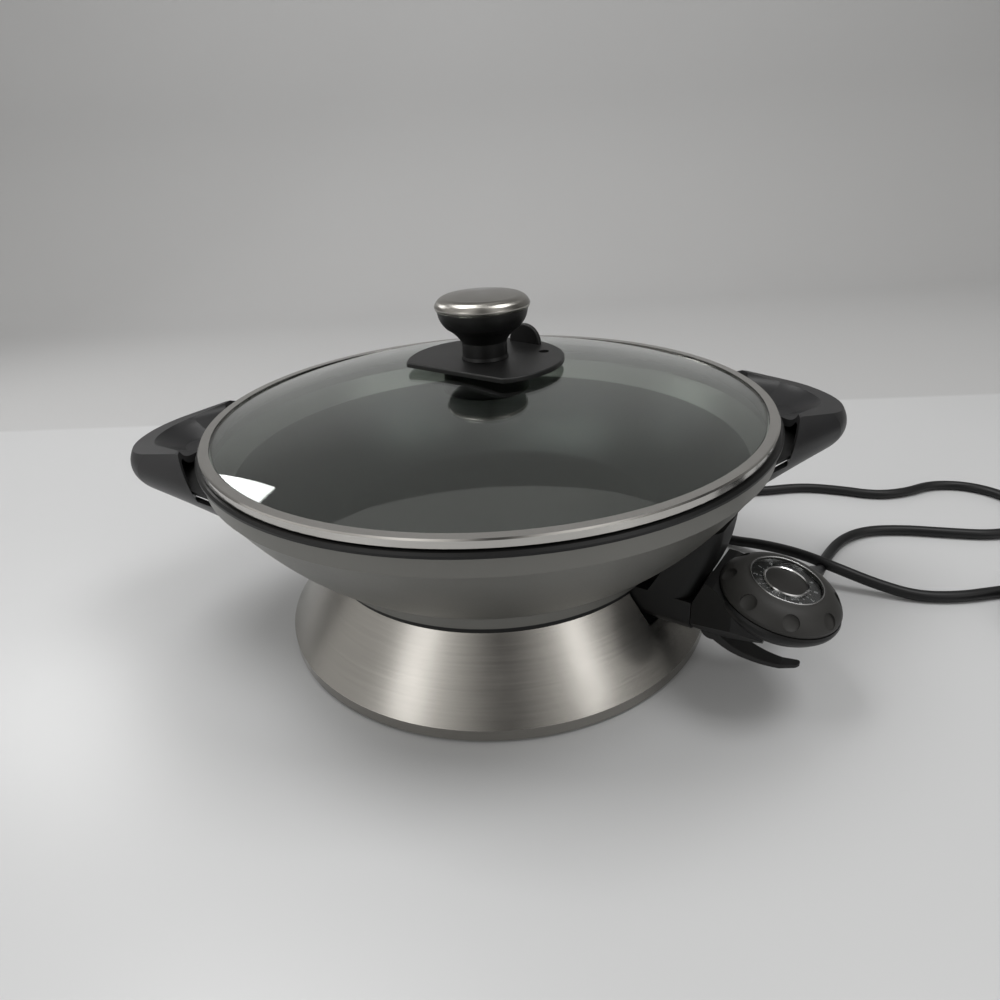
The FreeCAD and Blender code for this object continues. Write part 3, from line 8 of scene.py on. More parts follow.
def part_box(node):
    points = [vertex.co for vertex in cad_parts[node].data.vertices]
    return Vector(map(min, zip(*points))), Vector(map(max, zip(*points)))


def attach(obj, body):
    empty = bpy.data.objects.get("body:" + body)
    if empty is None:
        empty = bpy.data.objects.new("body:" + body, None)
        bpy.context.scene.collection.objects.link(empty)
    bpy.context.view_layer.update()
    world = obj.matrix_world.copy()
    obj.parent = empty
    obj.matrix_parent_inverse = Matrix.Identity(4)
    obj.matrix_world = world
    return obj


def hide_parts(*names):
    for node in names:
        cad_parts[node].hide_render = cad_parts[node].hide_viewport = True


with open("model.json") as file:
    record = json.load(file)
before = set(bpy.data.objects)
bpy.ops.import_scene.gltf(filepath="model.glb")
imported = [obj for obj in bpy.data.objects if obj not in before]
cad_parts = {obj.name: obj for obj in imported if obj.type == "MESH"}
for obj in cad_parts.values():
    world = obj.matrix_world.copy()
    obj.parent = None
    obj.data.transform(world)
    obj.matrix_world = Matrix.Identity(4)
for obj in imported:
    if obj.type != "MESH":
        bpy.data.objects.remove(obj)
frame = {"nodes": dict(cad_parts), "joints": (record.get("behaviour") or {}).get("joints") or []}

bl_info = {
    "name": "Electric Wok",
    "version": (1, 0, 0),
    "blender": (4, 5, 0),
    "location": "View3D > Sidebar > Wok",
    "description": "Finishes, dial marks, cord and stage for an electric wok with a glass lid",
    "category": "Object",
}

NODES = frame["nodes"]
MM = 0.001

# Places that follow the frame
BOWL_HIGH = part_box("wok_bowl")[1]
RIM_TOP = BOWL_HIGH.z
JOINTS = {joint["name"]: joint for joint in frame["joints"]}
DIAL_AXIS = Vector(JOINTS["dial_turn"]["axis"]).normalized()
DIAL_CENTRE = Vector(JOINTS["dial_turn"]["pos_m"])
PROBE_WAY = Vector(JOINTS["probe_pull"]["axis"]).normalized()
PROBE_SIDE = Vector((0, 0, 1)).cross(PROBE_WAY)

# Bowl finish, down from the lip's top
LIP_DEPTH = 3.4 * MM
BAND_DEPTH = 27.0 * MM
BAND_TONE = (0.3, 0.3, 0.285)
LIP_TONE = (0.003, 0.003, 0.003)
BOWL_METALLIC = 0.62

# Cord, in millimetres except its whole length, in metres
COIL_CENTRE = (384.0, -88.0)
COIL_MEAN_D = 84.0
COIL_PITCH = 10.2
COIL_LAYER = 8.8
COIL_IN_TURNS = 1.25
COIL_CLIMB_TURNS = 0.5
COIL_TURNS = 3.0
COIL_STEPS = 16
COIL_LEAD_IN = 26.0
COIL_LEAD_OUT = 16.0
PLUG_TAIL = 34.0
BOOT_AT = (198.0, 31.0, 52.5)
BOOT_DIR = Vector((-0.02, 0.97, -0.243)).normalized()
BOOT_LENGTH = 26.0
BOOT_LEAD = 18.0
FALL_TO_TABLE = ((222, -31, 22), (238, -4, 8))
CORD_TONE = (0.009, 0.009, 0.0095)
LOOP_OUT = ((255, 20), (275, 41), (300, 53), (330, 51), (361, 42), (393, 34), (425, 40), (446, 64), (447, 95),
            (428, 120), (397, 127), (368, 115), (340, 113), (314, 127), (283, 138), (243, 134), (203, 139),
            (177, 127), (163, 101), (168, 72), (188, 51))
CROSS_OVER = ((207, 34, 9), (225, 4, 17), (245, -17, 15), (267, -28, 8))
RUN_TO_COIL = ((290, -40), (317, -44), (344, -41))

# Webs between the handles and the bowl
WEB_LEVEL = 128.9 * MM
WEB_THICK = 1.8 * MM
WEB_REACH = 200.5 * MM
WEB_SIDE_AT = (187.0 * MM, 60.5 * MM)   # a point on the handle's side, and the side's heading
WEB_SIDE_TURN = math.radians(143.7)
WEB_SIDE_IN = 1.2 * MM
WEB_SINK = 0.5 * MM                     # into the bowl's wall
WEB_FROM_X = 150.0 * MM
WEB_PROBE_Y = 60.0 * MM                 # where the bowl's wall is felt for
WEB_FACETS = 180
TOOL_DEPTH = 30.0 * MM
TOOL_WIDTH = 100.0 * MM
TOOL_LENGTH = 300.0 * MM

# Dial marks, measured from the dial's centre in its own plane
MARK_COUNT = 10
MARK_START = math.radians(135.0)
MARK_SWEEP = math.radians(270.0)
MARK_FACE = 8.62 * MM
MARK_DEPTH = 0.02 * MM
NUMBER_R = 16.4 * MM
TICK_R = 13.75 * MM
TICK_SIZE = (1.3 * MM, 0.28 * MM, 0.04 * MM)
POINTER_R = 18.2 * MM
POINTER_SIZE = 1.7 * MM
POINTER_THICK = 0.12 * MM
POINTER_ROUND = 0.25 * MM
POINTER_FACE = 8.76 * MM
POINTER_TURN = math.radians(-62.0)
RING_R = 20.1 * MM
RING_WIRE_R = 0.42 * MM
RING_FACE = 11.9 * MM

# Stage
FLOOR_SIZE = 2.0
FLOOR_SCALE = (5.0, 1.6, 1.0)
FLOOR_CENTRE = (0.0, -0.2, 0.0)
BACKDROP_HEIGHT = 2.4
BACKDROP_BEND = 0.4
TABLE_EDGE = 0.4         # where the table's tone ends, behind the wok
TABLE_EDGE_SLANT = 0.063
ROOM_LIGHT = 0.55
ROOM_TONE = (0.8, 0.79, 0.77, 1.0)
MIRRORED_LIGHT = 1.5
CAMERA_EYE = (0.0, -0.44153, 0.30017)
CAMERA_PAN = 0.0096
CAMERA_PITCH = 0.4653
CAMERA_ROLL = -0.0561

# Name, place, the point it lights, size and power
LAMPS = (
    ("ceiling_left", (-0.55, 0.1, 1.5), (0.0, 0.0, 0.05), 0.7, 9.0),
    ("ceiling_right", (0.75, -0.15, 1.5), (0.0, 0.0, 0.05), 0.6, 7.0),
    ("room_left", (-1.35, -1.15, 0.95), (0.0, 0.0, 0.05), 0.55, 1.7),
    ("room_right", (1.2, -1.25, 0.95), (0.0, 0.0, 0.05), 0.4, 1.1),
    ("ceiling_back", (-0.86, 0.62, 0.72), (-0.11, -0.13, 0.15), 0.3, 1.4),
)


class WokSizes(bpy.types.PropertyGroup):
    """Sizes that a user may change."""
    cord_diameter: bpy.props.FloatProperty(
        name="Cord diameter", description="Outside diameter of the mains cord",
        default=8.0 * MM, min=4.0 * MM, max=9.0 * MM, unit="LENGTH")
    brush_scale: bpy.props.FloatProperty(
        name="Brush lines", description="Brush lines per metre on the steel base", default=900.0)
    mark_height: bpy.props.FloatProperty(
        name="Dial mark height", description="Height of the plain numbers on the dial",
        default=3.2 * MM, unit="LENGTH")
    lens: bpy.props.FloatProperty(
        name="Camera lens", description="Focal length on a 36 mm sensor, in millimetres", default=25.5)


class WokColours(bpy.types.PropertyGroup):
    """Colours of the finishes."""
    steel: bpy.props.FloatVectorProperty(
        name="Brushed steel", description="Base colour of the brushed steel", subtype="COLOR",
        size=3, default=(0.34, 0.328, 0.305))
    ring: bpy.props.FloatVectorProperty(
        name="Lid ring", description="Colour of the polished lid ring", subtype="COLOR",
        size=3, default=(0.56, 0.545, 0.52))
    bowl: bpy.props.FloatVectorProperty(
        name="Bowl outside", description="Colour of the satin outside of the bowl", subtype="COLOR",
        size=3, default=(0.19, 0.188, 0.175))
    lining: bpy.props.FloatVectorProperty(
        name="Bowl inside", description="Colour of the non-stick lining", subtype="COLOR",
        size=3, default=(0.02, 0.021, 0.019))
    plastic: bpy.props.FloatVectorProperty(
        name="Black plastic", description="Colour of the black mouldings", subtype="COLOR",
        size=3, default=(0.005, 0.005, 0.005))
    handle: bpy.props.FloatVectorProperty(
        name="Handles", description="Colour of the handles", subtype="COLOR",
        size=3, default=(0.016, 0.016, 0.017))
    dial: bpy.props.FloatVectorProperty(
        name="Dial", description="Colour of the soft grey dial", subtype="COLOR",
        size=3, default=(0.032, 0.031, 0.029))
    floor: bpy.props.FloatVectorProperty(
        name="Floor", description="Colour of the table", subtype="COLOR",
        size=3, default=(0.65, 0.655, 0.66))
    wall: bpy.props.FloatVectorProperty(
        name="Backdrop", description="Colour of the backdrop behind the table", subtype="COLOR",
        size=3, default=(0.53, 0.53, 0.53))


def sizes():
    return bpy.context.scene.wok_sizes


def colours():
    return bpy.context.scene.wok_colours


# Material helpers
def new_material(name):
    """A node material with its shader and its tree."""
    material = bpy.data.materials.new(name)
    material.use_nodes = True
    tree = material.node_tree
    shader = tree.nodes["Principled BSDF"]
    return material, tree, shader


def add(tree, kind, **settings):
    """A new node with some of its settings."""
    node = tree.nodes.new(kind)
    for key, value in settings.items():
        setattr(node, key, value)
    return node


def math_node(tree, operation, first, second):
    """One sum on numbers or sockets."""
    node = add(tree, "ShaderNodeMath", operation=operation)
    for index, value in enumerate((first, second)):
        if isinstance(value, (int, float)):
            node.inputs[index].default_value = value
        else:
            tree.links.new(value, node.inputs[index])
    return node.outputs[0]


def object_axes(tree):
    """The object's own coordinates as three numbers."""
    coords = add(tree, "ShaderNodeTexCoord")
    split = add(tree, "ShaderNodeSeparateXYZ")
    tree.links.new(coords.outputs["Object"], split.inputs[0])
    return coords.outputs["Object"], split.outputs[0], split.outputs[1], split.outputs[2]


def axis_radius(tree, x, y):
    """Distance from the wok's axis."""
    squares = math_node(tree, "ADD", math_node(tree, "MULTIPLY", x, x), math_node(tree, "MULTIPLY", y, y))
    return math_node(tree, "POWER", squares, 0.5)


def combine(tree, x, y, z):
    """Three numbers or sockets as one vector."""
    node = add(tree, "ShaderNodeCombineXYZ")
    for index, value in enumerate((x, y, z)):
        if isinstance(value, (int, float)):
            node.inputs[index].default_value = value
        else:
            tree.links.new(value, node.inputs[index])
    return node.outputs[0]


def noise(tree, vector, scale, detail=2.0, roughness=0.5):
    """Soft noise from 0 to 1."""
    node = add(tree, "ShaderNodeTexNoise")
    node.inputs["Scale"].default_value = scale
    node.inputs["Detail"].default_value = detail
    node.inputs["Roughness"].default_value = roughness
    tree.links.new(vector, node.inputs["Vector"])
    return node.outputs["Fac"]


def ramp(tree, factor, *stops):
    """Colours or greys along a factor; a stop is a place and a grey or a colour."""
    node = add(tree, "ShaderNodeValToRGB")
    node.color_ramp.elements.remove(node.color_ramp.elements[1])
    for index, (place, value) in enumerate(stops):
        element = node.color_ramp.elements[0] if index == 0 else node.color_ramp.elements.new(place)
        element.position = place
        tone = (value, value, value) if isinstance(value, (int, float)) else value
        element.color = (tone[0], tone[1], tone[2], 1.0)
    tree.links.new(factor, node.inputs[0])
    return node.outputs[0]


def shades(tone, low, high, start=0.3):
    """Two stops of a ramp: a tone a little darker and a little lighter."""
    return (start, [c * low for c in tone]), (0.7, [c * high for c in tone])


def mix(tree, factor, first, second):
    """One colour that turns into another."""
    node = add(tree, "ShaderNodeMix", data_type="RGBA")
    for socket, value in ((node.inputs[0], factor), (node.inputs[6], first), (node.inputs[7], second)):
        if isinstance(value, (int, float)):
            socket.default_value = value
        elif isinstance(value, bpy.types.NodeSocket):
            tree.links.new(value, socket)
        else:
            socket.default_value = (value[0], value[1], value[2], 1.0)
    return node.outputs[2]


def bump(tree, shader, height, strength, distance):
    """Fine relief that only the light sees."""
    node = add(tree, "ShaderNodeBump")
    node.inputs["Strength"].default_value = strength
    node.inputs["Distance"].default_value = distance
    tree.links.new(height, node.inputs["Height"])
    tree.links.new(node.outputs[0], shader.inputs["Normal"])


def above(tree, value, edge, softness):
    """0 below an edge and 1 above it, with a soft step."""
    node = add(tree, "ShaderNodeMapRange", interpolation_type="SMOOTHSTEP")
    tree.links.new(value, node.inputs["Value"])
    node.inputs["From Min"].default_value = edge - softness
    node.inputs["From Max"].default_value = edge + softness
    return node.outputs["Result"]


def steel_tangent(tree, shader):
    """Brush lines run round the wok's axis."""
    node = add(tree, "ShaderNodeTangent", direction_type="RADIAL", axis="Z")
    tree.links.new(node.outputs[0], shader.inputs["Tangent"])


# Materials
def brushed_steel(name, lines):
    """Steel brushed around the wok's axis: streaks follow the circle, and the shine fans out."""
    material, tree, shader = new_material(name)
    _, x, y, z = object_axes(tree)
    radius = axis_radius(tree, x, y)
    angle = math_node(tree, "ARCTAN2", y, x)
    along = math_node(tree, "ADD", radius, math_node(tree, "MULTIPLY", z, 1.7))
    streaks = noise(tree, combine(tree, math_node(tree, "MULTIPLY", along, lines),
                                  math_node(tree, "MULTIPLY", angle, 1.6), 0.0), 1.0, 3.0, 0.7)
    smears = noise(tree, combine(tree, x, y, z), 26.0, 3.0, 0.6)
    tree.links.new(ramp(tree, streaks, *shades(colours().steel, 0.96, 1.05)), shader.inputs["Base Color"])
    shader.inputs["Metallic"].default_value = 1.0
    rough = math_node(tree, "ADD", math_node(tree, "MULTIPLY", streaks, 0.05),
                      math_node(tree, "MULTIPLY", smears, 0.08))
    tree.links.new(math_node(tree, "ADD", rough, 0.14), shader.inputs["Roughness"])
    shader.inputs["Anisotropic"].default_value = 0.85
    steel_tangent(tree, shader)
    bump(tree, shader, streaks, 0.03, 0.0001)
    return material


def polished_steel():
    """The lid's polished ring, with faint wear."""
    material, tree, shader = new_material("polished_ring")
    coords, x, y, z = object_axes(tree)
    wear = noise(tree, coords, 60.0, 3.0)
    tree.links.new(ramp(tree, wear, *shades(colours().ring, 0.93, 1.0)), shader.inputs["Base Color"])
    shader.inputs["Metallic"].default_value = 1.0
    tree.links.new(math_node(tree, "ADD", math_node(tree, "MULTIPLY", wear, 0.12), 0.08),
                   shader.inputs["Roughness"])
    return material


def bowl_finish():
    """Satin grey outside, black lip, pale upper band inside and a dark ringed lining below it."""
    material, tree, shader = new_material("bowl_finish")
    coords, x, y, z = object_axes(tree)
    radius = axis_radius(tree, x, y)
    turned = combine(tree, math_node(tree, "MULTIPLY", radius, 700.0), 0.0, 0.0)
    rings = noise(tree, turned, 1.0, 2.0, 0.6)
    grain = noise(tree, coords, 900.0, 2.0)
    patches = noise(tree, coords, 14.0, 3.0)
    outside = ramp(tree, patches, *shades(colours().bowl, 0.92, 1.06))
    lining = ramp(tree, rings, *shades(colours().lining, 0.8, 1.35, 0.35))
    normal = add(tree, "ShaderNodeSeparateXYZ")
    texture = [n for n in tree.nodes if n.bl_idname == "ShaderNodeTexCoord"][0]
    tree.links.new(texture.outputs["Normal"], normal.inputs[0])
    along = math_node(tree, "ADD", math_node(tree, "MULTIPLY", x, normal.outputs[0]),
                      math_node(tree, "MULTIPLY", y, normal.outputs[1]))
    outward = math_node(tree, "DIVIDE", along, math_node(tree, "ADD", radius, 0.0001))
    # The inside faces the axis or the sky; the outside faces away and down.
    facing = math_node(tree, "SUBTRACT", normal.outputs[2], outward)
    inside = above(tree, facing, 0.0, 0.02)
    upper = above(tree, z, RIM_TOP - BAND_DEPTH, 0.6 * MM)
    inner = mix(tree, upper, lining, BAND_TONE)
    body = mix(tree, inside, outside, inner)
    lip = above(tree, z, RIM_TOP - LIP_DEPTH, 0.15 * MM)
    tree.links.new(mix(tree, lip, body, LIP_TONE), shader.inputs["Base Color"])
    metal = math_node(tree, "MULTIPLY", math_node(tree, "SUBTRACT", 1.0, lip), BOWL_METALLIC)
    coated = math_node(tree, "MULTIPLY", inside, math_node(tree, "SUBTRACT", 1.0, upper))
    tree.links.new(math_node(tree, "MULTIPLY", metal, math_node(tree, "SUBTRACT", 1.0, coated)),
                   shader.inputs["Metallic"])
    rough = math_node(tree, "ADD", math_node(tree, "MULTIPLY", grain, 0.1), 0.34)
    tree.links.new(rough, shader.inputs["Roughness"])
    shader.inputs["Specular IOR Level"].default_value = 0.35
    height = math_node(tree, "ADD", math_node(tree, "MULTIPLY", grain, 0.12),
                       math_node(tree, "MULTIPLY", math_node(tree, "MULTIPLY", rings, inside), 0.6))
    bump(tree, shader, height, 0.1, 0.00015)
    return material


def moulded(name, tone, rough, grain_scale=1400.0, depth=0.25):
    """Fine-grained moulded plastic with a little wear in its shine."""
    material, tree, shader = new_material(name)
    coords, x, y, z = object_axes(tree)
    grain = noise(tree, coords, grain_scale, 2.0)
    patches = noise(tree, coords, 22.0, 3.0)
    tree.links.new(ramp(tree, patches, *shades(tone, 0.85, 1.2)), shader.inputs["Base Color"])
    tree.links.new(math_node(tree, "ADD", math_node(tree, "MULTIPLY", patches, 0.12), rough - 0.06),
                   shader.inputs["Roughness"])
    bump(tree, shader, grain, depth, 0.00012)
    shader.inputs["Specular IOR Level"].default_value = 0.32
    return material


def clear(name, tone, ior):
    """Glass or clear plastic with a very slight haze."""
    material, tree, shader = new_material(name)
    coords, x, y, z = object_axes(tree)
    haze = noise(tree, coords, 30.0, 3.0)
    shader.inputs["Base Color"].default_value = (tone[0], tone[1], tone[2], 1.0)
    shader.inputs["Transmission Weight"].default_value = 1.0
    shader.inputs["IOR"].default_value = ior
    tree.links.new(ramp(tree, haze, (0.45, 0.0), (0.9, 0.03)), shader.inputs["Roughness"])
    return material


def plain_metal(name, tone, rough):
    """Metal with light wear and no brush lines."""
    material, tree, shader = new_material(name)
    coords, x, y, z = object_axes(tree)
    wear = noise(tree, coords, 160.0, 3.0)
    tree.links.new(ramp(tree, wear, *shades(tone, 0.85, 1.0)), shader.inputs["Base Color"])
    shader.inputs["Metallic"].default_value = 1.0
    tree.links.new(math_node(tree, "ADD", math_node(tree, "MULTIPLY", wear, 0.15), rough),
                   shader.inputs["Roughness"])
    return material


def scale_face():
    """Dark printed face of the dial with fine specks."""
    material, tree, shader = new_material("scale_face")
    coords, x, y, z = object_axes(tree)
    speck = noise(tree, coords, 800.0, 2.0)
    tree.links.new(ramp(tree, speck, (0.3, 0.012), (0.8, 0.03)), shader.inputs["Base Color"])
    shader.inputs["Roughness"].default_value = 0.3
    return material


def pointer_red():
    """Plain dull red."""
    material, tree, shader = new_material("pointer_red")
    coords, x, y, z = object_axes(tree)
    shade = noise(tree, coords, 300.0, 1.0)
    tree.links.new(ramp(tree, shade, (0.3, (0.28, 0.02, 0.015)), (0.7, (0.36, 0.03, 0.02))),
                   shader.inputs["Base Color"])
    shader.inputs["Roughness"].default_value = 0.35
    return material


def print_white():
    """White ink."""
    material, tree, shader = new_material("print_white")
    coords, x, y, z = object_axes(tree)
    shade = noise(tree, coords, 500.0, 1.0)
    tree.links.new(ramp(tree, shade, (0.3, 0.72), (0.7, 0.85)), shader.inputs["Base Color"])
    shader.inputs["Roughness"].default_value = 0.5
    return material


def give(material, *names):
    """Put one finish on CAD nodes."""
    for name in names:
        mesh = NODES[name].data
        mesh.materials.clear()
        mesh.materials.append(material)


def deselect():
    """Nothing is selected."""
    bpy.ops.object.select_all(action="DESELECT")


def only(piece):
    """Select one object and make it active."""
    deselect()
    piece.select_set(True)
    bpy.context.view_layer.objects.active = piece


def settle(piece):
    """Move the object's place into its mesh."""
    only(piece)
    bpy.ops.object.transform_apply(location=True, rotation=True, scale=True)


def dial_matrix():
    """From the dial's own plane, with X pointing away from the wok, to the frame."""
    out = PROBE_WAY - DIAL_AXIS * PROBE_WAY.dot(DIAL_AXIS)
    out.normalize()
    side = DIAL_AXIS.cross(out)
    turn = Matrix((out, side, DIAL_AXIS)).transposed().to_4x4()
    return Matrix.Translation(DIAL_CENTRE) @ turn


class WOK_OT_finishes(bpy.types.Operator):
    """Put the finishes on the wok's own solids"""
    bl_idname = "wok.finishes"
    bl_label = "Finishes"

    def execute(self, context):
        tones = colours()
        give(brushed_steel("brushed_base", sizes().brush_scale), "base_skirt")
        give(brushed_steel("brushed_knob", sizes().brush_scale * 1.6), "knob_cap")
        give(polished_steel(), "lid_rim")
        give(bowl_finish(), "wok_bowl")
        # base_collar gets this black as painted shade: it stands for the shadow in the gap where the bowl's
        # foot sits on the steel skirt, while the other parts here are real black plastic
        black = moulded("black_plastic", tones.plastic, 0.42)
        give(black, "base_frame", "base_collar", "probe_guard", "probe_housing", "knob_neck",
             "lid_retainer", "plug_body")
        give(moulded("vent_plastic", [c * 1.9 for c in tones.plastic], 0.4), "vent_plate")
        give(moulded("lever_plastic", [c * 5.0 for c in tones.plastic], 0.5), "release_lever")
        give(moulded("handle_plastic", tones.handle, 0.38), "handle_right", "handle_left")
        give(moulded("dial_soft", tones.dial, 0.5), "dial_dome")
        give(moulded("dial_centre", [c * 0.8 for c in tones.dial], 0.3), "dial_cap")
        rubber = moulded("rubber", (0.011, 0.011, 0.011), 0.55, 900.0, 0.3)
        give(rubber, "foot_1", "foot_2", "foot_3", "foot_4", "lid_washer", "strain_relief")
        give(clear("lid_glass_clear", (0.8, 0.86, 0.82), 1.72), "lid_glass")
        give(clear("dial_window", (0.92, 0.94, 0.94), 1.45), "dial_lens")
        bright = plain_metal("bright_metal", (0.8, 0.8, 0.8), 0.08)
        give(bright, "dial_bezel", "terminal_pin_front", "terminal_pin_back", "sensor_rod", "lever_pin")
        give(plain_metal("brass", (0.72, 0.56, 0.28), 0.15), "contact_sleeve_front", "contact_sleeve_back",
             "plug_blade_front", "plug_blade_back", "plug_ground")
        give(plain_metal("zinc_steel", (0.55, 0.55, 0.54), 0.3), "bracket_right", "bracket_left",
             "screw_right_1", "screw_right_2", "screw_left_1", "screw_left_2", "lid_screw")
        give(plain_metal("element_steel", (0.25, 0.235, 0.22), 0.4), "heating_element")
        give(scale_face(), "dial_scale")
        return {"FINISHED"}


def probe_vector(out, across, up):
    """From the heat control's own directions to the frame."""
    return PROBE_WAY * out + PROBE_SIDE * across + Vector((0, 0, up))


def coil_point(turns, rest):
    """The coil's centre line: in on the floor, up half a turn, and out again on top."""
    outer = (COIL_MEAN_D + COIL_IN_TURNS * COIL_PITCH) / 2
    inward = min(turns, COIL_IN_TURNS)
    outward = max(0.0, turns - COIL_IN_TURNS - COIL_CLIMB_TURNS)
    radius = outer - COIL_PITCH * (inward - outward)
    share = min(1.0, max(0.0, (turns - COIL_IN_TURNS) / COIL_CLIMB_TURNS))
    height = rest / MM + COIL_LAYER * (1 - math.cos(math.pi * share)) / 2
    angle = math.pi / 2 - 2 * math.pi * turns
    return (COIL_CENTRE[0] + radius * math.cos(angle), COIL_CENTRE[1] + radius * math.sin(angle), height)


def cord_points(rest):
    """Control points of the cord's line, in metres, from the strain relief to the plug."""
    z = rest / MM
    tip = probe_vector(*BOOT_AT) + probe_vector(*BOOT_DIR) * BOOT_LENGTH
    second = tip + probe_vector(*BOOT_DIR) * BOOT_LEAD
    route = [tuple(tip), tuple(second)]
    route += FALL_TO_TABLE
    route += [(x, y, z) for x, y in LOOP_OUT]
    route += CROSS_OVER
    route += [(x, y, z) for x, y in RUN_TO_COIL]
    first = coil_point(0, rest)
    route.append((first[0] - COIL_LEAD_IN, first[1], z))
    count = int(COIL_TURNS * COIL_STEPS)
    for step in range(count + 1):
        route.append(coil_point(step / COIL_STEPS, rest))
    last = coil_point(COIL_TURNS, rest)
    route.append((last[0] + COIL_LEAD_OUT, last[1], last[2]))
    route.append((last[0] + PLUG_TAIL, last[1], last[2]))
    return [tuple(value * MM for value in point) for point in route]


class WOK_OT_cord(bpy.types.Operator):
    """Lay the mains cord from the heat control to its coil and plug"""
    bl_idname = "wok.cord"
    bl_label = "Cord"

    def execute(self, context):
        rest = sizes().cord_diameter / 2
        points = cord_points(rest)
        curve = bpy.data.curves.new("mains_cord", "CURVE")
        curve.dimensions = "3D"
        curve.bevel_depth = rest
        curve.bevel_resolution = 6
        curve.resolution_u = 10
        curve.use_fill_caps = True
        spline = curve.splines.new("NURBS")
        spline.points.add(len(points) - 1)
        for item, point in zip(spline.points, points):
            item.co = (point[0], point[1], point[2], 1.0)
        spline.order_u = 3
        spline.use_endpoint_u = True
        cord = bpy.data.objects.new("mains_cord", curve)
        context.scene.collection.objects.link(cord)
        curve.materials.append(moulded("cord_rubber", CORD_TONE, 0.42, 700.0, 0.2))
        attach(cord, "probe")
        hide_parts("cord_free", "cord_coil", "cord_tail")
        return {"FINISHED"}


class WOK_OT_webs(bpy.types.Operator):
    """Close the dark slots between the handles and the bowl, above the room for fingers"""
    bl_idname = "wok.webs"
    bl_label = "Handle webs"

    def execute(self, context):
        middle = WEB_LEVEL + WEB_THICK / 2
        spot = NODES["wok_bowl"].ray_cast(Vector((2 * WEB_REACH, WEB_PROBE_Y, middle)), Vector((-1, 0, 0)))[1]
        wall = spot.to_2d().length
        bpy.ops.mesh.primitive_cylinder_add(vertices=WEB_FACETS, radius=WEB_REACH, depth=WEB_THICK,
                                            location=(0, 0, middle))
        webs = context.object
        webs.name = "handle_webs"
        settle(webs)
        bpy.ops.mesh.primitive_cylinder_add(vertices=WEB_FACETS, radius=wall - WEB_SINK, depth=TOOL_DEPTH,
                                            location=(0, 0, middle))
        self.cut(context, webs, context.object, "DIFFERENCE")
        bpy.ops.mesh.primitive_cube_add(size=1.0, location=(WEB_FROM_X + TOOL_WIDTH, 0.0, middle),
                                        scale=(2 * TOOL_WIDTH, TOOL_LENGTH, TOOL_DEPTH))
        self.cut(context, webs, context.object, "INTERSECT")
        for way in (1, -1):
            outward = Vector((math.sin(WEB_SIDE_TURN), way * -math.cos(WEB_SIDE_TURN), 0))
            corner = Vector((WEB_SIDE_AT[0], way * WEB_SIDE_AT[1], middle))
            centre = corner + outward * (TOOL_WIDTH / 2 - WEB_SIDE_IN)
            bpy.ops.mesh.primitive_cube_add(size=1.0, location=centre, rotation=(0, 0, way * WEB_SIDE_TURN),
                                            scale=(TOOL_LENGTH, TOOL_WIDTH, TOOL_DEPTH))
            self.cut(context, webs, context.object, "DIFFERENCE")
        only(webs)
        mirror = webs.modifiers.new("mirror", "MIRROR")
        mirror.use_axis[0] = True
        mirror.use_mirror_merge = False
        bpy.ops.object.modifier_apply(modifier=mirror.name)
        webs.data.materials.append(moulded("web_plastic", colours().plastic, 0.5))
        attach(webs, "bowl")
        return {"FINISHED"}

    def cut(self, context, piece, tool, operation):
        """Apply one boolean step and delete its tool."""
        settle(tool)
        only(piece)
        step = piece.modifiers.new("cut", "BOOLEAN")
        step.operation = operation
        step.solver = "EXACT"
        step.object = tool
        bpy.ops.object.modifier_apply(modifier=step.name)
        bpy.data.objects.remove(tool, do_unlink=True)


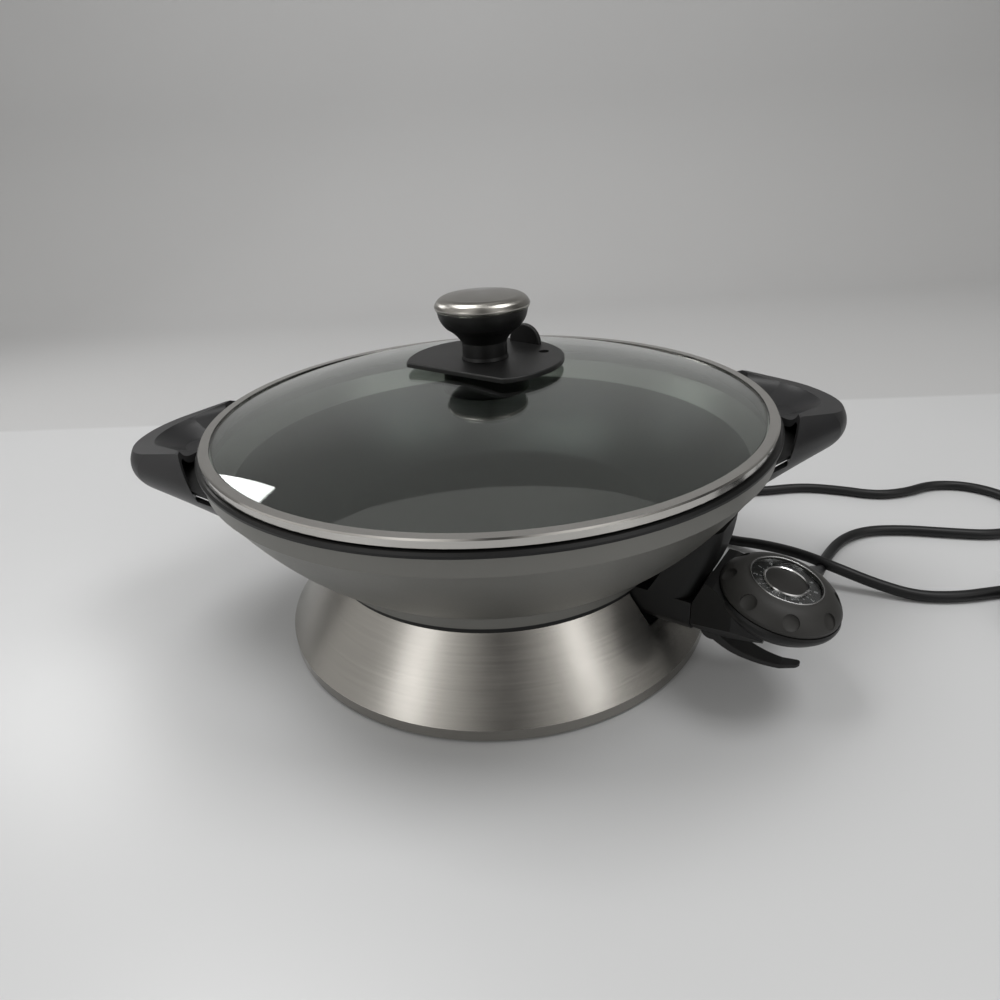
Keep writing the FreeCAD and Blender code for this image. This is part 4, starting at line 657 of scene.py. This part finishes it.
class WOK_OT_dial_marks(bpy.types.Operator):
    """Print plain numbers, ticks and a pointer under and on the dial's window"""
    bl_idname = "wok.dial_marks"
    bl_label = "Dial marks"

    def execute(self, context):
        ink = print_white()
        place = dial_matrix()
        numbers = []
        for index in range(MARK_COUNT):
            angle = MARK_START + MARK_SWEEP * index / (MARK_COUNT - 1)
            bpy.ops.object.text_add()
            label = context.object
            label.data.body = str(index)
            label.data.size = sizes().mark_height
            label.data.align_x = "CENTER"
            label.data.align_y = "CENTER"
            label.data.extrude = MARK_DEPTH
            label.matrix_world = (place @ self.around(angle, NUMBER_R, MARK_FACE)
                                  @ Matrix.Rotation(angle - math.pi / 2, 4, "Z"))
            only(label)
            bpy.ops.object.convert(target="MESH")
            numbers.append(context.object)
        tick_gaps = 2 * (MARK_COUNT - 1)
        for index in range(tick_gaps + 1):
            angle = MARK_START + MARK_SWEEP * index / tick_gaps
            bpy.ops.mesh.primitive_cube_add(size=1.0)
            tick = context.object
            tick.matrix_world = (place @ self.around(angle, TICK_R, MARK_FACE)
                                 @ Matrix.Rotation(angle, 4, "Z") @ Matrix.Diagonal(TICK_SIZE + (1.0,)))
            numbers.append(tick)
        deselect()
        for item in numbers:
            item.select_set(True)
        context.view_layer.objects.active = numbers[0]
        bpy.ops.object.join()
        marks = context.object
        marks.name = "dial_numbers"
        settle(marks)
        marks.data.materials.clear()
        marks.data.materials.append(ink)
        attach(marks, "probe")
        self.pointer(context, place)
        self.window_ring(context, place)
        return {"FINISHED"}

    def around(self, angle, radius, height):
        """A place on a circle in the dial's plane."""
        return Matrix.Translation((radius * math.cos(angle), radius * math.sin(angle), height))

    def window_ring(self, context, place):
        """The thin bright ring round the window, set in the dome's edge."""
        bpy.ops.mesh.primitive_torus_add(major_radius=RING_R, minor_radius=RING_WIRE_R, major_segments=96,
                                         minor_segments=12)
        ring = context.object
        ring.name = "window_ring"
        ring.matrix_world = place @ Matrix.Translation((0, 0, RING_FACE))
        settle(ring)
        bpy.ops.object.shade_smooth()
        ring.data.materials.append(plain_metal("ring_metal", (0.5, 0.5, 0.5), 0.12))
        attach(ring, "dial")

    def pointer(self, context, place):
        """A small red wedge under the window, which turns with the dome."""
        bpy.ops.mesh.primitive_cylinder_add(vertices=3, radius=POINTER_SIZE, depth=POINTER_THICK)
        wedge = context.object
        wedge.name = "dial_pointer"
        wedge.matrix_world = (place @ self.around(POINTER_TURN, POINTER_R, POINTER_FACE)
                              @ Matrix.Rotation(POINTER_TURN + math.pi / 2, 4, "Z"))
        settle(wedge)
        bpy.ops.object.mode_set(mode="EDIT")
        bpy.ops.mesh.select_all(action="SELECT")
        bpy.ops.mesh.bevel(offset=POINTER_ROUND, segments=2, affect="VERTICES")
        bpy.ops.object.mode_set(mode="OBJECT")
        wedge.data.materials.append(pointer_red())
        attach(wedge, "dial")


class WOK_OT_stage(bpy.types.Operator):
    """Floor, backdrop, lamps and the camera at the photograph's angle"""
    bl_idname = "wok.stage"
    bl_label = "Stage"

    def execute(self, context):
        self.floor(context)
        self.lamps(context)
        self.camera(context)
        scene = context.scene
        scene.view_settings.view_transform = "Standard"
        return {"FINISHED"}

    def floor(self, context):
        """A pale table, then a greyer ground that curves up into a backdrop far behind."""
        bpy.ops.mesh.primitive_plane_add(size=FLOOR_SIZE)
        floor = context.object
        floor.name = "floor"
        floor.scale = FLOOR_SCALE
        floor.location = FLOOR_CENTRE
        settle(floor)
        edges = floor.data.edges
        points = floor.data.vertices
        far = max((points[e.vertices[0]].co.y + points[e.vertices[1]].co.y) for e in edges)
        self.pick(floor, lambda a, b: a.y + b.y > far - 1e-4)
        bpy.ops.mesh.extrude_region_move(TRANSFORM_OT_translate={"value": (0, 0, BACKDROP_HEIGHT)})
        self.pick(floor, lambda a, b: a.y + b.y > far - 1e-4 and a.z + b.z < 1e-4)
        bpy.ops.mesh.bevel(offset=BACKDROP_BEND, segments=16)
        bpy.ops.object.mode_set(mode="OBJECT")
        bpy.ops.object.shade_smooth()
        floor.data.materials.append(self.ground())

    def pick(self, piece, test):
        """Select the edges whose two ends pass a test, in edit mode."""
        bpy.ops.object.mode_set(mode="OBJECT")
        only(piece)
        bpy.ops.object.mode_set(mode="EDIT")
        bpy.ops.mesh.select_mode(type="EDGE")
        bpy.ops.mesh.select_all(action="DESELECT")
        bpy.ops.object.mode_set(mode="OBJECT")
        for edge in piece.data.edges:
            edge.select = test(*[piece.data.vertices[i].co for i in edge.vertices])
        bpy.ops.object.mode_set(mode="EDIT")

    def ground(self):
        """Pale on the table, greyer past its far edge, which runs slightly askew."""
        material, tree, shader = new_material("ground")
        coords, x, y, z = object_axes(tree)
        cloud = noise(tree, coords, 1.2, 2.0)
        tones = []
        for tone in (colours().floor, colours().wall):
            tones.append(ramp(tree, cloud, *shades(tone, 0.96, 1.0)))
        askew = math_node(tree, "ADD", y, math_node(tree, "MULTIPLY", x, TABLE_EDGE_SLANT))
        past = above(tree, askew, TABLE_EDGE, 0.006)
        tree.links.new(mix(tree, past, tones[0], tones[1]), shader.inputs["Base Color"])
        tree.links.new(math_node(tree, "ADD", math_node(tree, "MULTIPLY", past, 0.4), 0.3),
                       shader.inputs["Roughness"])
        return material

    def lamps(self, context):
        """Area lamps above and beside the wok, and the room."""
        for name, place, target, size, power in LAMPS:
            self.lamp(name, place, target, size, power)
        self.room(context)

    def room(self, context):
        """A soft even room; shiny metal also sees its bright windows and dark corners."""
        world = bpy.data.worlds.new("room")
        world.use_nodes = True
        tree = world.node_tree
        background = tree.nodes["Background"]
        background.inputs[0].default_value = ROOM_TONE
        coords = add(tree, "ShaderNodeTexCoord")
        split = add(tree, "ShaderNodeSeparateXYZ")
        tree.links.new(coords.outputs["Generated"], split.inputs[0])
        heading = math_node(tree, "ARCTAN2", split.outputs[1], split.outputs[0])
        share = math_node(tree, "ADD", math_node(tree, "DIVIDE", heading, 2 * math.pi), 0.5)
        fan = ramp(tree, share, (0.0, 0.55), (0.06, 0.45), (0.125, 1.0), (0.185, 0.5), (0.235, 0.06),
                   (0.27, 0.06), (0.33, 0.6), (0.38, 0.8), (0.44, 0.3), (0.5, 0.04), (0.6, 0.25), (0.7, 0.4),
                   (0.85, 0.4), (1.0, 0.55))
        fan = math_node(tree, "MULTIPLY", fan, MIRRORED_LIGHT)
        path = add(tree, "ShaderNodeLightPath")
        glossy = math_node(tree, "MULTIPLY", path.outputs["Is Glossy Ray"],
                           math_node(tree, "SUBTRACT", fan, ROOM_LIGHT))
        tree.links.new(math_node(tree, "ADD", glossy, ROOM_LIGHT), background.inputs[1])
        context.scene.world = world

    def lamp(self, name, place, target, size, power):
        """One square area lamp, turned to its target."""
        data = bpy.data.lights.new(name, "AREA")
        data.size = size
        data.energy = power
        item = bpy.data.objects.new(name, data)
        item.location = place
        aim = Vector(target) - Vector(place)
        item.rotation_euler = aim.to_track_quat("-Z", "Y").to_euler()
        bpy.context.scene.collection.objects.link(item)

    def camera(self, context):
        """The camera worked out from the photograph's ellipses."""
        flat = Vector((math.sin(CAMERA_PAN), math.cos(CAMERA_PAN), 0.0))
        forward = flat * math.cos(CAMERA_PITCH) - Vector((0, 0, math.sin(CAMERA_PITCH)))
        right = Vector((math.cos(CAMERA_PAN), -math.sin(CAMERA_PAN), 0.0))
        up = right.cross(forward)
        side = right * math.cos(CAMERA_ROLL) + up * math.sin(CAMERA_ROLL)
        top = up * math.cos(CAMERA_ROLL) - right * math.sin(CAMERA_ROLL)
        data = bpy.data.cameras.new("camera")
        data.lens = sizes().lens
        data.sensor_width = 36.0
        data.clip_start = 0.01
        item = bpy.data.objects.new("camera", data)
        turn = Matrix((side, top, -forward)).transposed().to_4x4()
        item.matrix_world = Matrix.Translation(CAMERA_EYE) @ turn
        context.scene.collection.objects.link(item)
        context.scene.camera = item


class WOK_PT_panel(bpy.types.Panel):
    """The wok's pieces, in the order in which they are made"""
    bl_idname = "WOK_PT_panel"
    bl_label = "Electric Wok"
    bl_space_type = "VIEW_3D"
    bl_region_type = "UI"
    bl_category = "Wok"

    def draw(self, context):
        layout = self.layout
        for name in ("cord_diameter", "brush_scale", "mark_height", "lens"):
            layout.prop(context.scene.wok_sizes, name)
        for name in ("steel", "ring", "bowl", "lining", "plastic", "handle", "dial", "floor", "wall"):
            layout.prop(context.scene.wok_colours, name)
        for operator in OPERATORS:
            layout.operator(operator.bl_idname)


OPERATORS = (WOK_OT_stage, WOK_OT_cord, WOK_OT_finishes, WOK_OT_webs, WOK_OT_dial_marks)
CLASSES = (WokSizes, WokColours) + OPERATORS + (WOK_PT_panel,)


def register():
    for item in CLASSES:
        bpy.utils.register_class(item)
    bpy.types.Scene.wok_sizes = bpy.props.PointerProperty(type=WokSizes)
    bpy.types.Scene.wok_colours = bpy.props.PointerProperty(type=WokColours)


def unregister():
    del bpy.types.Scene.wok_colours
    del bpy.types.Scene.wok_sizes
    for item in reversed(CLASSES):
        bpy.utils.unregister_class(item)


def main():
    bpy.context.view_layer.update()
    register()
    bpy.ops.wok.stage()
    bpy.ops.wok.cord()
    bpy.ops.wok.finishes()
    bpy.ops.wok.webs()
    bpy.ops.wok.dial_marks()


if __name__ == "__main__":
    main()
